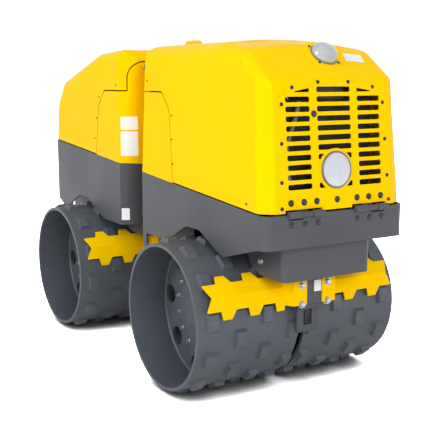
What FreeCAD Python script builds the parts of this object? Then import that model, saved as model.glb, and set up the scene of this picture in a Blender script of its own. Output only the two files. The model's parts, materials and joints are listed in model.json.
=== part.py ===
import FreeCAD, Part
import math
import os

# Articulated trench roller: an engine half and a tank half joined at a centre joint,
# each standing on a pair of lugged drums. Millimetres, +X to the grille end, +Z up,
# origin on the ground under the steering pivot.

V = FreeCAD.Vector

# ---- Drums ----
OVERALL_W = 820.0        # over the outer drum ends
SHELL_R = 254.0          # drum shell, outside
SHELL_T = 12.0
LUG_H = 15.0
LUG_W = 46.0             # along the axle, at the root
LUG_L = 62.0             # round the shell, at the root
LUG_TAPER = 6.0          # each side, root to tip
LUG_COLUMNS = 4
LUG_ROWS = 12
SMOOTH_BAND = 32.0       # plain shell outboard of the last lug column
DRUM_GAP = 26.0          # between the two drums of a pair
WEB_DEEP = 148.0         # outer face of the web from the drum's end
WEB_T = 12.0
WEB_HOLES = 8
WEB_HOLE_R = 34.5
WEB_HOLE_IN = 50.0       # centre of a web hole from the shell's outside
HUB_R = 113.0
HUB_T = 12.0
HUB_CAP_R = 66.0
HUB_CAP_T = 8.0
SHAFT_R = 30.0
SHAFT_FIT = 0.05         # running fit of the shaft in its housing, radial
WEB_BORE_GAP = 0.5       # web bore round the shaft, radial
HOUSING_R = 95.0
HOUSING_END_GAP = 14.0   # housing end to the web's inner face

DRUM_OUT_Y = OVERALL_W / 2.0
DRUM_IN_Y = DRUM_GAP / 2.0
WEB_OUT_Y = DRUM_OUT_Y - WEB_DEEP
WEB_HOLE_PCR = SHELL_R - WEB_HOLE_IN
TIP_R = SHELL_R + LUG_H
LUG_STEP = 360.0 / LUG_ROWS
LUG_HALF_DEG = math.degrees(math.asin((LUG_L / 2.0 - LUG_TAPER) / TIP_R))
# At rest the drum stands on two neighbouring lug edges, the same angle to each side.
AXLE_Z = TIP_R * math.cos(math.radians(LUG_STEP / 4.0 - LUG_HALF_DEG))
DRUM_TOP_Z = AXLE_Z + TIP_R

# ---- Carriers ----
CARRIER_T = 12.0
CARRIER_TOP_IN = 7.0     # top edge inside the lug tips
HEAD_OUT = 48.0          # head's face beyond the lug tips
HEAD_RISE = 172.19       # head's top above the axle
HEAD_H = 111.0
HEAD_DEPTH = 34.0
HEAD_HALF_W = 78.0
CROSS_IN = 7.0           # cross tube's middle inside the lug tips, along X
CROSS_DROP = 79.0        # its middle below the deck
CROSS_SIZE = 64.0
APRON_OUT = 76.0         # apron's face beyond the head's
APRON_HALF_W = 177.0
APRON_T = 8.0
APRON_H = 130.0
APRON_BACK_IN = 91.0     # apron's inner edge inside the lug tips
APRON_SWEEP = ((0.0, 64.0), (27.0, 23.0), (75.0, 4.0), (112.0, 0.0))  # its curved edge
APRON_CORNER_R = 22.0
APRON_SEAT = 0.5         # tank apron round the end plate
BEARING_CLEAR = 6.0      # hole in the apron round the bearing
TRUNNION_CLEAR = 5.0     # hole in the inner plate round the trunnion
MOUNT_R = 30.0
MOUNT_L = 21.0
TIE_HALF_W = 43.0
TIE_T = 12.0
TIE_DROP = 102.0         # bracket's foot below the head
TIE_CLEAR = 6.0          # bracket's back face to the lug tips
TIE_SLOT_HALF = 17.0
TIE_SLOT_LOW = 24.0
TIE_SLOT_H = 52.0

CARRIER_HEAD_X = TIP_R + HEAD_OUT
CARRIER_TOP = TIP_R - CARRIER_TOP_IN
HEAD_TOP_Z = AXLE_Z + HEAD_RISE
HEAD_LOW_Z = HEAD_TOP_Z - HEAD_H
TIE_LOW_Z = HEAD_LOW_Z - TIE_DROP
CROSS_X = TIP_R - CROSS_IN
CROSS_HALF = APRON_HALF_W - APRON_T - MOUNT_L
APRON_END = CARRIER_HEAD_X + APRON_OUT
APRON_BACK = TIP_R - APRON_BACK_IN

# ---- Bodies ----
BODY_HALF_W = 284.0
CORNER_R = 36.0          # outer vertical corners of the frame
INNER_X = 64.0           # inner end wall from the steering pivot
BEND_L = 36.0            # inner end wall to where the side plates fold inwards
BEND_IN = 72.0           # flat inner end wall narrower than the side plates by this, each side
APRON_IN_GAP = 26.0      # inner apron's face from the inner end wall
FRAME_T = 10.0
SHEET_T = 5.0            # hoods and covers
LID_GAP = 5.0            # hood to frame and hood to cover
COVER_GAP = 1.0          # fixed cover above the frame's edge
DECK_CLEAR = 28.19       # underside of the decks above the drums
DECK_T = 8.0
SIDE_DROP = 74.0         # side plates below the deck
RAKE_RISE = 167.0        # frame's top edge above the deck's underside, at the pivot
RAKE_SLOPE = 0.0785      # drop of that edge per length towards the grille
ARCH_IN = 129.0          # foot of the arch over the drum inside the lug tips
ARCH_TOP_HALF = 46.0
LEG_W = 28.0             # corner leg along the side plate, from its fold
LEG_DROP = 92.0          # its foot below the side plate

AXLE_X = INNER_X + APRON_IN_GAP + APRON_END      # axle centre from the steering pivot
BEND_X = INNER_X + BEND_L
INNER_HALF_W = BODY_HALF_W - BEND_IN
DECK_Z = DRUM_TOP_Z + DECK_CLEAR
SIDE_LOW_Z = DECK_Z - SIDE_DROP
LEG_LOW_Z = SIDE_LOW_Z - LEG_DROP
RAKE_Z = DECK_Z + RAKE_RISE
CROSS_Z = DECK_Z - CROSS_DROP
APRON_LOW_Z = DECK_Z - APRON_H
ARCH_HALF = TIP_R - ARCH_IN

# ---- Engine half ----
ENGINE_OVERHANG = 436.0  # front plate from the axle
ENGINE_PLATE_DROP = 11.0 # front plate's bottom edge below the deck
HOOD_RISE = 470.0        # roof above the frame's raked edge at the pivot
GRILLE_BACK = 7.4        # grille's face behind the front plate at GRILLE_Z
GRILLE_LOW = 33.0        # GRILLE_Z below the raked edge at the pivot
GRILLE_LEAN = 0.0892     # set back per height
KNEE_DROP = 137.0        # roof to where the face meets the brow
BROW_BACK = 167.0        # top of the brow slope behind the front plate
BROW_DROP = 23.0
ROOF_BACK = 142.0        # flat roof behind the top of the brow
ROOF_EDGE_R = 42.0       # soft edge along roof and brow
EDGE_LIFT = 0.08         # rounding starts this far above the surface, so that it cuts it cleanly
PROFILE_R = 52.0         # soft corners in the side view
FACET_X = 26.0           # flat facet between the hood's side and its face
FACET_Y = 47.0
FACET_R = 26.0           # soft bends at the facet's edges

ENGINE_END_X = AXLE_X + ENGINE_OVERHANG
ENGINE_LOW_Z = DECK_Z - ENGINE_PLATE_DROP
ENGINE_ROOF_Z = RAKE_Z + HOOD_RISE
GRILLE_X = ENGINE_END_X - GRILLE_BACK
GRILLE_Z = RAKE_Z - GRILLE_LOW
KNEE_Z = ENGINE_ROOF_Z - KNEE_DROP
BROW_X = ENGINE_END_X - BROW_BACK
BROW_Z = ENGINE_ROOF_Z - BROW_DROP
ROOF_START_X = BROW_X - ROOF_BACK

# ---- Tank half ----
TANK_OVERHANG = 329.0    # end plate from the axle
TANK_PLATE_DROP = 27.0   # end plate's bottom edge below the deck
TANK_CHAMFER = 90.0      # slanted foot of the side plate
TANK_FOOT_RISE = 8.0
TANK_FACE_BACK = 20.0    # top of the end face behind the end plate
TANK_SHOULDER_BACK = 110.0   # shoulder's top behind the face's
TANK_SHOULDER_H = 134.0
TANK_ROOF_BACK = 367.0   # bend of the roof behind the shoulder
TANK_ROOF_DROP = 30.0    # roof's bend below the engine half's roof
TANK_SHOULDER_DROP = 105.0
TANK_CROWN_DROP = 15.0   # inner end of the tank half's roof below the engine half's

TANK_END_X = AXLE_X + TANK_OVERHANG
TANK_LOW_Z = DECK_Z - TANK_PLATE_DROP
TANK_CHAMFER_X = TANK_END_X - TANK_CHAMFER
TANK_FOOT_Z = SIDE_LOW_Z + TANK_FOOT_RISE
TANK_FACE_X = TANK_END_X - TANK_FACE_BACK
TANK_SHOULDER_X = TANK_FACE_X - TANK_SHOULDER_BACK
TANK_ROOF_X = TANK_SHOULDER_X - TANK_ROOF_BACK
TANK_ROOF_Z = ENGINE_ROOF_Z - TANK_ROOF_DROP
TANK_SHOULDER_Z = TANK_ROOF_Z - TANK_SHOULDER_DROP
TANK_FACE_Z = TANK_SHOULDER_Z - TANK_SHOULDER_H
TANK_ROOF_END_Z = ENGINE_ROOF_Z - TANK_CROWN_DROP

# ---- Covers and seams ----
SEAM_DROP = 179.0        # top of the fixed cover's side below the roof
SEAM_LOW_L = 276.0       # seam from the inner end wall, at its foot
SEAM_LEAN = 44.0         # towards the pivot, foot to shoulder
SEAM_CUT = 60.0          # slanted corner of the seam
SEAM_CUT_DROP = 62.0
END_OPEN_IN = 34.0       # fixed cover's end wall above its side, in from the side plates
END_OPEN_DROP = 66.0
END_OPEN_R = 62.0

SEAM_TOP_Z = ENGINE_ROOF_Z - SEAM_DROP
SEAM_LOW_X = INNER_X + SEAM_LOW_L
SEAM_HIGH_X = SEAM_LOW_X - SEAM_LEAN
SEAM_CUT_X = SEAM_HIGH_X - SEAM_CUT
END_OPEN_HALF = BODY_HALF_W - END_OPEN_IN
END_OPEN_TOP = ENGINE_ROOF_Z - END_OPEN_DROP

# ---- Grille ----
PANEL_T = 4.0
PANEL_PROUD = 3.0
PANEL_IN = 55.0          # panel's lower corners in from the sides
PANEL_TAPER = 18.0
PANEL_CORNER_IN = 33.0
PANEL_RISE = 8.0         # panel's top above the knee
PANEL_CROWN = 22.0
PANEL_CORNER_H = 30.0
PANEL_MARGIN = 16.0      # panel overlaps the hood's opening by this much
SLOT_H = 17.5
SLOT_ROWS = 10
SLOT_DROP = 10.0         # top full row below the panel's shoulder
SLOT_FOOT = 78.0         # lowest row above the panel's foot
SLOT_SIDE_IN = 94.0
SLOT_EDGE = 24.0         # slots' ends in from the panel's shoulder
SLOT_MID_HALF = 67.0
WEDGE_SHORT = 37.0       # wedge slots shorter than the rows below
WEDGE_RISE = 3.0
BADGE_UP = 123.3         # badge above the panel's foot
BADGE_R = 59.0
BADGE_T = 7.0
BADGE_LAND = 9.0         # solid panel left round the badge

PANEL_LOW_Z = RAKE_Z - RAKE_SLOPE * ENGINE_END_X + LID_GAP + 1.0
PANEL_HALF_LOW = BODY_HALF_W - PANEL_IN
PANEL_HALF_HIGH = PANEL_HALF_LOW - PANEL_TAPER
PANEL_CORNER_HALF = PANEL_HALF_HIGH - PANEL_CORNER_IN
PANEL_TOP_Z = KNEE_Z + PANEL_RISE
PANEL_CORNER_Z = PANEL_TOP_Z - PANEL_CROWN
PANEL_SHOULDER_Z = PANEL_CORNER_Z - PANEL_CORNER_H
SLOT_TOP_Z = PANEL_SHOULDER_Z - SLOT_DROP
SLOT_PITCH = (SLOT_TOP_Z - PANEL_LOW_Z - SLOT_FOOT) / (SLOT_ROWS - 1)
SLOT_SIDE_OUT = PANEL_HALF_HIGH - SLOT_EDGE
WEDGE_OUT = SLOT_SIDE_OUT - WEDGE_SHORT
BADGE_Z = PANEL_LOW_Z + BADGE_UP

# ---- Lens ----
LENS_BACK = 127.0        # lens centre behind the front plate
LENS_R = 44.0
LENS_H = 24.0
LENS_PAD_RIM = 16.0      # raised pad beyond the lens
LENS_PAD_H = 5.0

LENS_X = ENGINE_END_X - LENS_BACK
LENS_PAD_R = LENS_R + LENS_PAD_RIM

# ---- Hinges ----
HINGE_IN_Y = 64.0
HINGE_L = 134.0          # block's length
HINGE_OFF_X = 9.0        # axis outboard of the end plate
HINGE_DROP = 1.0         # axis above the plate's top edge
HINGE_BLOCK_X = 18.0
HINGE_BLOCK_H = 20.0
HINGE_PIN_R = 4.0
HINGE_KNUCKLE_R = 7.0
HINGE_WINDOW = 46.0      # opening for the hood's knuckle
HINGE_SIDE_GAP = 3.0
HINGE_LEAF_T = 4.0
HINGE_LEAF_H = 46.0
LEAF_SEAT = 0.3          # leaf to the hood's inner face
NOTCH_CLEAR = 4.0

HINGE_OUT_Y = HINGE_IN_Y + HINGE_L

# ---- Scrapers ----
SCRAPER_ANGLE = 24.0     # above the axle's level
SCRAPER_T = 6.0
SCRAPER_END_IN = 29.0    # outer end in from the drum's end
SCRAPER_HEAD_GAP = 2.0   # inner end beyond the head's side
SCRAPER_TAB = 48.0       # fixing tab across the head's face
SCRAPER_MID = 36.0       # outer face from the shell at the middle
SCRAPER_EDGE = 22.0      # same at the body's edges
SCRAPER_EDGE_T = 45.0    # body's edges from the middle
SCRAPER_TIP_T = 72.0
SCRAPER_TIP_GAP = 7.0    # tooth tip to the shell
TOOTH_TIP_W = 32.0
TOOTH_ROOT_W = 58.0

SCRAPER_OUT_Y = DRUM_OUT_Y - SCRAPER_END_IN
SCRAPER_IN_Y = HEAD_HALF_W + SCRAPER_HEAD_GAP
SCRAPER_TAB_IN = SCRAPER_IN_Y - SCRAPER_TAB

# ---- Joint ----
JOINT_RISE = 9.0         # fork's top above the deck's underside
JOINT_H = 190.0
YOKE_T = 20.0
YOKE_HALF_W = 38.0
PIN_R = 20.0
PIN_FIT = 0.05
LINK_GAP = 5.5
LINK_HALF = 34.0
TRUNNION_R = 30.0
BEARING_R = 62.0
BEARING_L = 46.0
PLATE_HALF = 110.0
PLATE_LOW = 10.0         # inner plate below the fork
PLATE_HIGH = 45.0        # and above it

JOINT_TOP_Z = DECK_Z + JOINT_RISE
JOINT_LOW_Z = JOINT_TOP_Z - JOINT_H
TRUNNION_Z = (JOINT_LOW_Z + JOINT_TOP_Z) / 2.0
PLATE_LOW_Z = JOINT_LOW_Z - PLATE_LOW
PLATE_TOP_Z = JOINT_TOP_Z + PLATE_HIGH

# ---- Lifting mast ----
MAST_GAP = 9.0           # mast's edges from the inner end walls
MAST_T = 20.0
MAST_RISE = 18.0         # above the roof
EYE_R = 20.0
EYE_DROP = 40.0

MAST_HALF = INNER_X - MAST_GAP
MAST_TOP_Z = ENGINE_ROOF_Z + MAST_RISE

# ---- Hood latches ----
LATCH_R = 12.0
LATCH_T = 5.5
LATCH_EDGE = 1.5
LATCH_DROP = 19.0        # below the end wall's top
LATCH_IN = 30.0          # in from the end wall's edge

LATCH_Z = END_OPEN_TOP - LATCH_DROP
LATCH_Y = INNER_HALF_W - LATCH_IN

# ---- Contents: clearances to the walls and roofs round them ----
BLOCK_HALF_W = 165.0
ENGINE_BLOCK_IN = 186.0
ENGINE_BLOCK_OUT = 219.0
ENGINE_BLOCK_DROP = 243.0
RADIATOR_HALF_W = 185.0
RADIATOR_OUT = 74.0
RADIATOR_T = 55.0
RADIATOR_DROP = 12.0     # top below the panel's shoulder
TANKS_IN = 126.0
TANKS_OUT = 122.0
TANKS_DROP = 34.0        # top below the end face's
BIG = 3000.0


# ---------------------------------------------------------------- helpers
def corner_points(points, radii):
    """Return the wire edges of a closed 2-D outline with rounded corners."""
    n = len(points)
    tangents = []
    for i in range(n):
        p, a, b = points[i], points[i - 1], points[(i + 1) % n]
        r = radii[i]
        va = (a[0] - p[0], a[1] - p[1])
        vb = (b[0] - p[0], b[1] - p[1])
        la = math.hypot(*va)
        lb = math.hypot(*vb)
        ua = (va[0] / la, va[1] / la)
        ub = (vb[0] / lb, vb[1] / lb)
        if r <= 0:
            tangents.append((p, p, None))
            continue
        cosine = max(-1.0, min(1.0, ua[0] * ub[0] + ua[1] * ub[1]))
        half = math.acos(cosine) / 2.0
        reach = r / math.tan(half)
        start = (p[0] + ua[0] * reach, p[1] + ua[1] * reach)
        end = (p[0] + ub[0] * reach, p[1] + ub[1] * reach)
        bis = (ua[0] + ub[0], ua[1] + ub[1])
        bl = math.hypot(*bis)
        far = r / math.sin(half)
        mid = (p[0] + bis[0] / bl * (far - r), p[1] + bis[1] / bl * (far - r))
        tangents.append((start, end, mid))
    return tangents


def outline(points, radii, place):
    """Return a face of a rounded outline, mapped to 3-D by place(u, v)."""
    tangents = corner_points(points, radii)
    edges = []
    n = len(points)
    for i in range(n):
        start, end, mid = tangents[i]
        if mid is not None:
            edges.append(Part.Arc(place(*start), place(*mid), place(*end)).toShape())
        nxt = tangents[(i + 1) % n][0]
        if math.hypot(nxt[0] - end[0], nxt[1] - end[1]) > 1e-6:
            edges.append(Part.makeLine(place(*end), place(*nxt)))
    return Part.Face(Part.Wire(edges))


def prism_xz(points, y0, y1, radii=None):
    """Extrude an outline given in X and Z from y0 to y1."""
    radii = radii or [0.0] * len(points)
    face = outline(points, radii, lambda u, v: V(u, y0, v))
    return face.extrude(V(0, y1 - y0, 0))


def prism_xy(points, z0, z1, radii=None):
    """Extrude an outline given in X and Y from z0 to z1."""
    radii = radii or [0.0] * len(points)
    face = outline(points, radii, lambda u, v: V(u, v, z0))
    return face.extrude(V(0, 0, z1 - z0))


def prism_yz(points, x0, x1, radii=None):
    """Extrude an outline given in Y and Z from x0 to x1."""
    radii = radii or [0.0] * len(points)
    face = outline(points, radii, lambda u, v: V(x0, u, v))
    return face.extrude(V(x1 - x0, 0, 0))


def box(x0, x1, y0, y1, z0, z1):
    """Return a box between two corners."""
    return Part.makeBox(x1 - x0, y1 - y0, z1 - z0, V(x0, y0, z0))


def cyl(r, p, d, length):
    """Return a cylinder of radius r from p along d."""
    return Part.makeCylinder(r, length, V(*p), V(*d))


def inset(points, amounts):
    """Move each edge of a counter-clockwise outline inwards by its own amount."""
    n = len(points)
    lines = []
    for i in range(n):
        a, b = points[i], points[(i + 1) % n]
        dx, dy = b[0] - a[0], b[1] - a[1]
        length = math.hypot(dx, dy)
        nx, ny = -dy / length, dx / length
        lines.append((a[0] + nx * amounts[i], a[1] + ny * amounts[i], dx / length, dy / length))
    out = []
    for i in range(n):
        x1, y1, dx1, dy1 = lines[i - 1]
        x2, y2, dx2, dy2 = lines[i]
        det = dx1 * dy2 - dy1 * dx2
        t = ((x2 - x1) * dy2 - (y2 - y1) * dx2) / det
        out.append((x1 + dx1 * t, y1 + dy1 * t))
    return out


def rake(x):
    """Height of the frame's raked top edge at x."""
    return RAKE_Z - RAKE_SLOPE * x


def mirror_x(shape):
    """Mirror a shape to the other end of the machine."""
    return shape.mirror(V(0, 0, 0), V(1, 0, 0))


def both_sides(shape):
    """Return a shape with its mirror image in Y, as separate solids."""
    return Part.makeCompound([shape, shape.mirror(V(0, 0, 0), V(0, 1, 0))])


def save(name, shape):
    """Write one node."""
    solids = shape.Solids
    if len(solids) == 1:
        shape = solids[0]
    else:
        shape = Part.makeCompound(solids)
    shape.exportStep("parts/" + name + ".step")
    print(name, len(solids), round(shape.Volume / 1e6, 3), shape.isValid())


# ---------------------------------------------------------------- side views
def engine_profile(t):
    """Side outline of the engine half's hood, inset by t, with its corner radii."""
    base = GRILLE_X - PANEL_PROUD
    low_z = 0.0
    low_x = base - GRILLE_LEAN * (low_z - GRILLE_Z)
    knee_x = base - GRILLE_LEAN * (KNEE_Z - GRILLE_Z)
    points = [(INNER_X, low_z), (low_x, low_z), (knee_x, KNEE_Z), (BROW_X, BROW_Z),
              (ROOF_START_X, ENGINE_ROOF_Z), (INNER_X, ENGINE_ROOF_Z)]
    amounts = [-t * 4.0, t, t, t, t, t]
    radii = [0.0, 0.0, PROFILE_R - t, PROFILE_R * 1.6 - t, PROFILE_R * 6.0, PROFILE_R - t]
    return inset(points, amounts), radii


def tank_profile(t):
    """Side outline of the tank half's hood, outward positive, inset by t."""
    low_z = 0.0
    lean = (TANK_END_X - TANK_FACE_X) / (TANK_FACE_Z - rake(-TANK_END_X))
    low_x = TANK_END_X - lean * (low_z - rake(-TANK_END_X))
    points = [(INNER_X, low_z), (low_x, low_z), (TANK_FACE_X, TANK_FACE_Z),
              (TANK_SHOULDER_X, TANK_SHOULDER_Z), (TANK_ROOF_X, TANK_ROOF_Z),
              (INNER_X, TANK_ROOF_END_Z)]
    amounts = [-t * 4.0, t, t, t, t, t]
    radii = [0.0, 0.0, PROFILE_R - t, PROFILE_R * 1.2 - t, PROFILE_R * 3.0, PROFILE_R - t]
    return inset(points, amounts), radii


def faceted(profile, t):
    """Space inside a hood's leaning face and its corner facets, inset by t."""
    lean = GRILLE_LEAN
    z0, z1 = 0.0, BIG
    if profile is engine_profile:
        x = GRILLE_X - PANEL_PROUD - lean * (z0 - GRILLE_Z)
    else:
        foot = rake(-TANK_END_X)
        lean = (TANK_END_X - TANK_FACE_X) / (TANK_FACE_Z - foot)
        x = TANK_END_X - lean * (z0 - foot)
    w = BODY_HALF_W
    points = [(0.0, -w), (x - FACET_X, -w), (x, -w + FACET_Y), (x, w - FACET_Y), (x - FACET_X, w), (0.0, w)]
    points = inset(points, [t, t, t, t, t, 0.0])
    r = FACET_R - t
    face = outline(points, [0.0, r, r, r, r, 0.0], lambda u, v: V(u, v, z0))
    return face.extrude(V(-lean * (z1 - z0), 0, z1 - z0))


def soft_sided(a, b, w, r):
    """Space under the sloping top surface through a and b, with its side edges rounded."""
    slope = (b[1] - a[1]) / (b[0] - a[0])
    top = a[1] + EDGE_LIFT + slope * (BIG - a[0])
    face = outline([(-w, -4.0 * BIG), (w, -4.0 * BIG), (w, top), (-w, top)], [0.0, 0.0, r, r],
                   lambda u, v: V(BIG, u, v))
    return face.extrude(V(-2.0 * BIG, 0, -2.0 * BIG * slope))


def plan(end_x, t, half_w=BODY_HALF_W):
    """Plan outline of a half, inset by t."""
    points = [(INNER_X, -INNER_HALF_W), (BEND_X, -half_w), (end_x, -half_w),
              (end_x, half_w), (BEND_X, half_w), (INNER_X, INNER_HALF_W)]
    return inset(points, [t] * 6)


def envelope(profile, end_x, t):
    """Solid of a half's upper shape, inset by t."""
    points, radii = profile(t)
    w = BODY_HALF_W - t
    body = prism_xz(points, -w, w, radii)
    for a, b in zip(points[2:5], points[3:6]):
        body = body.common(soft_sided(a, b, w, ROOF_EDGE_R - t))
    body = body.common(faceted(profile, t))
    return body.common(prism_xy(plan(end_x + BIG, t), 0.0, BIG))


def above_rake(gap, sign):
    """Block of space above the frame's raked edge, for the half on the given side."""
    s = sign
    return prism_xz([(0.0, rake(0.0) + gap), (BIG, rake(s * BIG) + gap), (BIG, BIG), (0.0, BIG)],
                    -BIG, BIG)


def cover_zone(gap):
    """Block of space that holds the fixed cover, grown by gap."""
    top = SEAM_TOP_Z + gap
    side = [(0.0, 0.0), (SEAM_LOW_X + gap + 20.0, 0.0), (SEAM_LOW_X + gap, GRILLE_Z),
            (SEAM_HIGH_X + gap, top - SEAM_CUT_DROP), (SEAM_CUT_X + gap * 0.6, top), (0.0, top)]
    side_zone = prism_xz(side, -BIG, BIG, [0.0, 0.0, 0.0, 40.0, 30.0, 0.0])
    half = END_OPEN_HALF + gap
    end = [(-half, 0.0), (half, 0.0), (half, END_OPEN_TOP + gap), (-half, END_OPEN_TOP + gap)]
    r = END_OPEN_R + gap
    end_zone = prism_yz(end, 0.0, BEND_X + 60.0, [0.0, 0.0, r, r])
    return side_zone.fuse(end_zone)


# ---------------------------------------------------------------- upper shells
def hood(profile, end_x, sign):
    """Clamshell hood of a half, outward positive."""
    shell = envelope(profile, end_x, 0.0).cut(envelope(profile, end_x, SHEET_T))
    shell = shell.common(above_rake(LID_GAP, sign))
    shell = shell.cut(cover_zone(LID_GAP))
    return shell


def fixed_cover(profile, end_x, sign):
    """Fixed cover at the inner end of a half, outward positive."""
    shell = envelope(profile, end_x, 0.0).cut(envelope(profile, end_x, SHEET_T))
    shell = shell.common(above_rake(COVER_GAP, sign))
    shell = shell.common(cover_zone(0.0))
    return shell


def hinge_axis(end_x, sign):
    """Return the hood hinge's X and Z, outward positive."""
    return end_x + HINGE_OFF_X, rake(sign * end_x) + HINGE_DROP


def notches(end_x, sign):
    """Spaces cut in a hood's end face behind its hinge blocks."""
    hx, hz = hinge_axis(end_x, sign)
    top = hz + HINGE_BLOCK_H / 2.0 + NOTCH_CLEAR
    cut = box(end_x - 60.0, end_x + 40.0, HINGE_IN_Y - NOTCH_CLEAR, HINGE_OUT_Y + NOTCH_CLEAR,
              hz - 40.0, top)
    return cut.fuse(cut.mirror(V(0, 0, 0), V(0, 1, 0)))


def hinge_block(end_x, sign):
    """Hinge blocks on a half's end plate, outward positive."""
    hx, hz = hinge_axis(end_x, sign)
    block = box(end_x, end_x + HINGE_BLOCK_X, HINGE_IN_Y, HINGE_OUT_Y,
                hz - HINGE_BLOCK_H / 2.0, hz + HINGE_BLOCK_H / 2.0)
    rims = [e for e in block.Edges
            if min(v.Point.x for v in e.Vertexes) > end_x + HINGE_BLOCK_X - 0.01]
    block = block.makeFillet(3.0, rims)
    mid = (HINGE_IN_Y + HINGE_OUT_Y) / 2.0
    half = HINGE_WINDOW / 2.0
    block = block.cut(box(end_x - 1.0, end_x + HINGE_BLOCK_X + 1.0, mid - half, mid + half,
                          hz - HINGE_BLOCK_H, hz + HINGE_BLOCK_H))
    bore = cyl(HINGE_PIN_R + PIN_FIT, (hx, HINGE_IN_Y - 10.0, hz), (0, 1, 0), 200.0)
    return both_sides(block.cut(bore))


def engine_face(z):
    """X of the engine hood's outer end face at height z."""
    return GRILLE_X - PANEL_PROUD - GRILLE_LEAN * (z - GRILLE_Z)


def tank_face(z):
    """X of the tank hood's outer end face at height z, outward positive."""
    foot = rake(-TANK_END_X)
    return TANK_END_X - (TANK_END_X - TANK_FACE_X) / (TANK_FACE_Z - foot) * (z - foot)


def hinge_leaf(end_x, sign, face):
    """Hood side of the hinges: pin, knuckle and leaf, outward positive."""
    hx, hz = hinge_axis(end_x, sign)
    mid = (HINGE_IN_Y + HINGE_OUT_Y) / 2.0
    half = HINGE_WINDOW / 2.0 - HINGE_SIDE_GAP
    pin = cyl(HINGE_PIN_R, (hx, HINGE_IN_Y + 2.0, hz), (0, 1, 0), HINGE_OUT_Y - HINGE_IN_Y - 4.0)
    knuckle = cyl(HINGE_KNUCKLE_R, (hx, mid - half, hz), (0, 1, 0), 2.0 * half)
    low = hz + HINGE_KNUCKLE_R - HINGE_LEAF_T
    top = low + HINGE_LEAF_H
    seat = SHEET_T + LEAF_SEAT
    strap = box(face(low) - seat - HINGE_LEAF_T, hx, mid - half, mid + half, low, low + HINGE_LEAF_T)
    back = [(face(low) - seat - HINGE_LEAF_T, low), (face(low) - seat, low),
            (face(top) - seat, top), (face(top) - seat - HINGE_LEAF_T, top)]
    leaf = prism_xz(back, mid - half, mid + half)
    return both_sides(pin.fuse([knuckle, strap, leaf]).removeSplitter())


# ---------------------------------------------------------------- frames
def frame(end_x, sign, low_profile):
    """Welded lower frame of a half: side, end and inner plates and a deck, outward positive."""
    outer = plan(end_x, 0.0)
    inner = plan(end_x, FRAME_T)
    r = [0.0, 0.0, CORNER_R, CORNER_R, 0.0, 0.0]
    ri = [0.0, 0.0, CORNER_R - FRAME_T, CORNER_R - FRAME_T, 0.0, 0.0]
    ring = prism_xy(outer, 0.0, BIG, r).cut(prism_xy(inner, -FRAME_T, BIG + FRAME_T, ri))
    deck = prism_xy(outer, DECK_Z, DECK_Z + DECK_T, r)
    top = [(BIG, rake(sign * BIG)), (0.0, rake(0.0))]
    side = [(0.0, SIDE_LOW_Z)] + low_profile + top
    radii = [0.0, 30.0] + [16.0, 60.0, 60.0, 16.0] + [0.0] * (len(low_profile) - 5) + [0.0, 0.0]
    view = prism_xz(side, -BIG, BIG, radii)
    body = ring.common(view).fuse(deck)
    plate = box(INNER_X, INNER_X + FRAME_T, -PLATE_HALF, PLATE_HALF, PLATE_LOW_Z, PLATE_TOP_Z)
    body = body.fuse(plate).removeSplitter()
    if sign > 0:
        leg = box(BEND_X, BEND_X + LEG_W, BODY_HALF_W - FRAME_T, BODY_HALF_W, LEG_LOW_Z, SIDE_LOW_Z + FRAME_T)
        body = body.fuse([leg, leg.mirror(V(0, 0, 0), V(0, 1, 0))]).removeSplitter()
    if sign < 0:
        hole = cyl(TRUNNION_R + TRUNNION_CLEAR, (0, 0, TRUNNION_Z), (1, 0, 0), BEND_X)
        body = body.cut(hole)
    return body


def engine_low():
    """Lower edge of the engine half's side plates."""
    a, h, t = ARCH_HALF, ARCH_TOP_HALF, DECK_Z
    return [(AXLE_X - a - 80.0, SIDE_LOW_Z + 4.0), (AXLE_X - a, SIDE_LOW_Z + 26.0),
            (AXLE_X - h, t), (AXLE_X + h, t), (AXLE_X + a, SIDE_LOW_Z + 30.0),
            (AXLE_X + a + 60.0, SIDE_LOW_Z + 8.0), (ENGINE_END_X - CORNER_R, ENGINE_LOW_Z),
            (BIG, ENGINE_LOW_Z)]


def tank_low():
    """Lower edge of the tank half's side plates, outward positive."""
    a, h, t = ARCH_HALF, ARCH_TOP_HALF, DECK_Z
    return [(AXLE_X - a - 80.0, SIDE_LOW_Z + 4.0), (AXLE_X - a, SIDE_LOW_Z + 26.0),
            (AXLE_X - h, t), (AXLE_X + h, t), (AXLE_X + a, SIDE_LOW_Z + 30.0),
            (AXLE_X + a + 30.0, TANK_FOOT_Z), (TANK_CHAMFER_X, TANK_FOOT_Z),
            (TANK_END_X, TANK_LOW_Z), (BIG, TANK_LOW_Z)]


# ---------------------------------------------------------------- running gear, outward positive
def lug():
    """One tapered lug with its root on the shell at angle 0, centred on Y = 0."""
    root = SHELL_R - 3.0
    hw, hl = LUG_W / 2.0, LUG_L / 2.0
    tw, tl = hw - LUG_TAPER, hl - LUG_TAPER
    low = Part.makePolygon([V(root, -hw, -hl), V(root, hw, -hl), V(root, hw, hl),
                            V(root, -hw, hl), V(root, -hw, -hl)])
    tip = math.sqrt(TIP_R ** 2 - tl ** 2)
    high = Part.makePolygon([V(tip, -tw, -tl), V(tip, tw, -tl), V(tip, tw, tl),
                             V(tip, -tw, tl), V(tip, -tw, -tl)])
    return Part.makeLoft([low, high], True, True)


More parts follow.
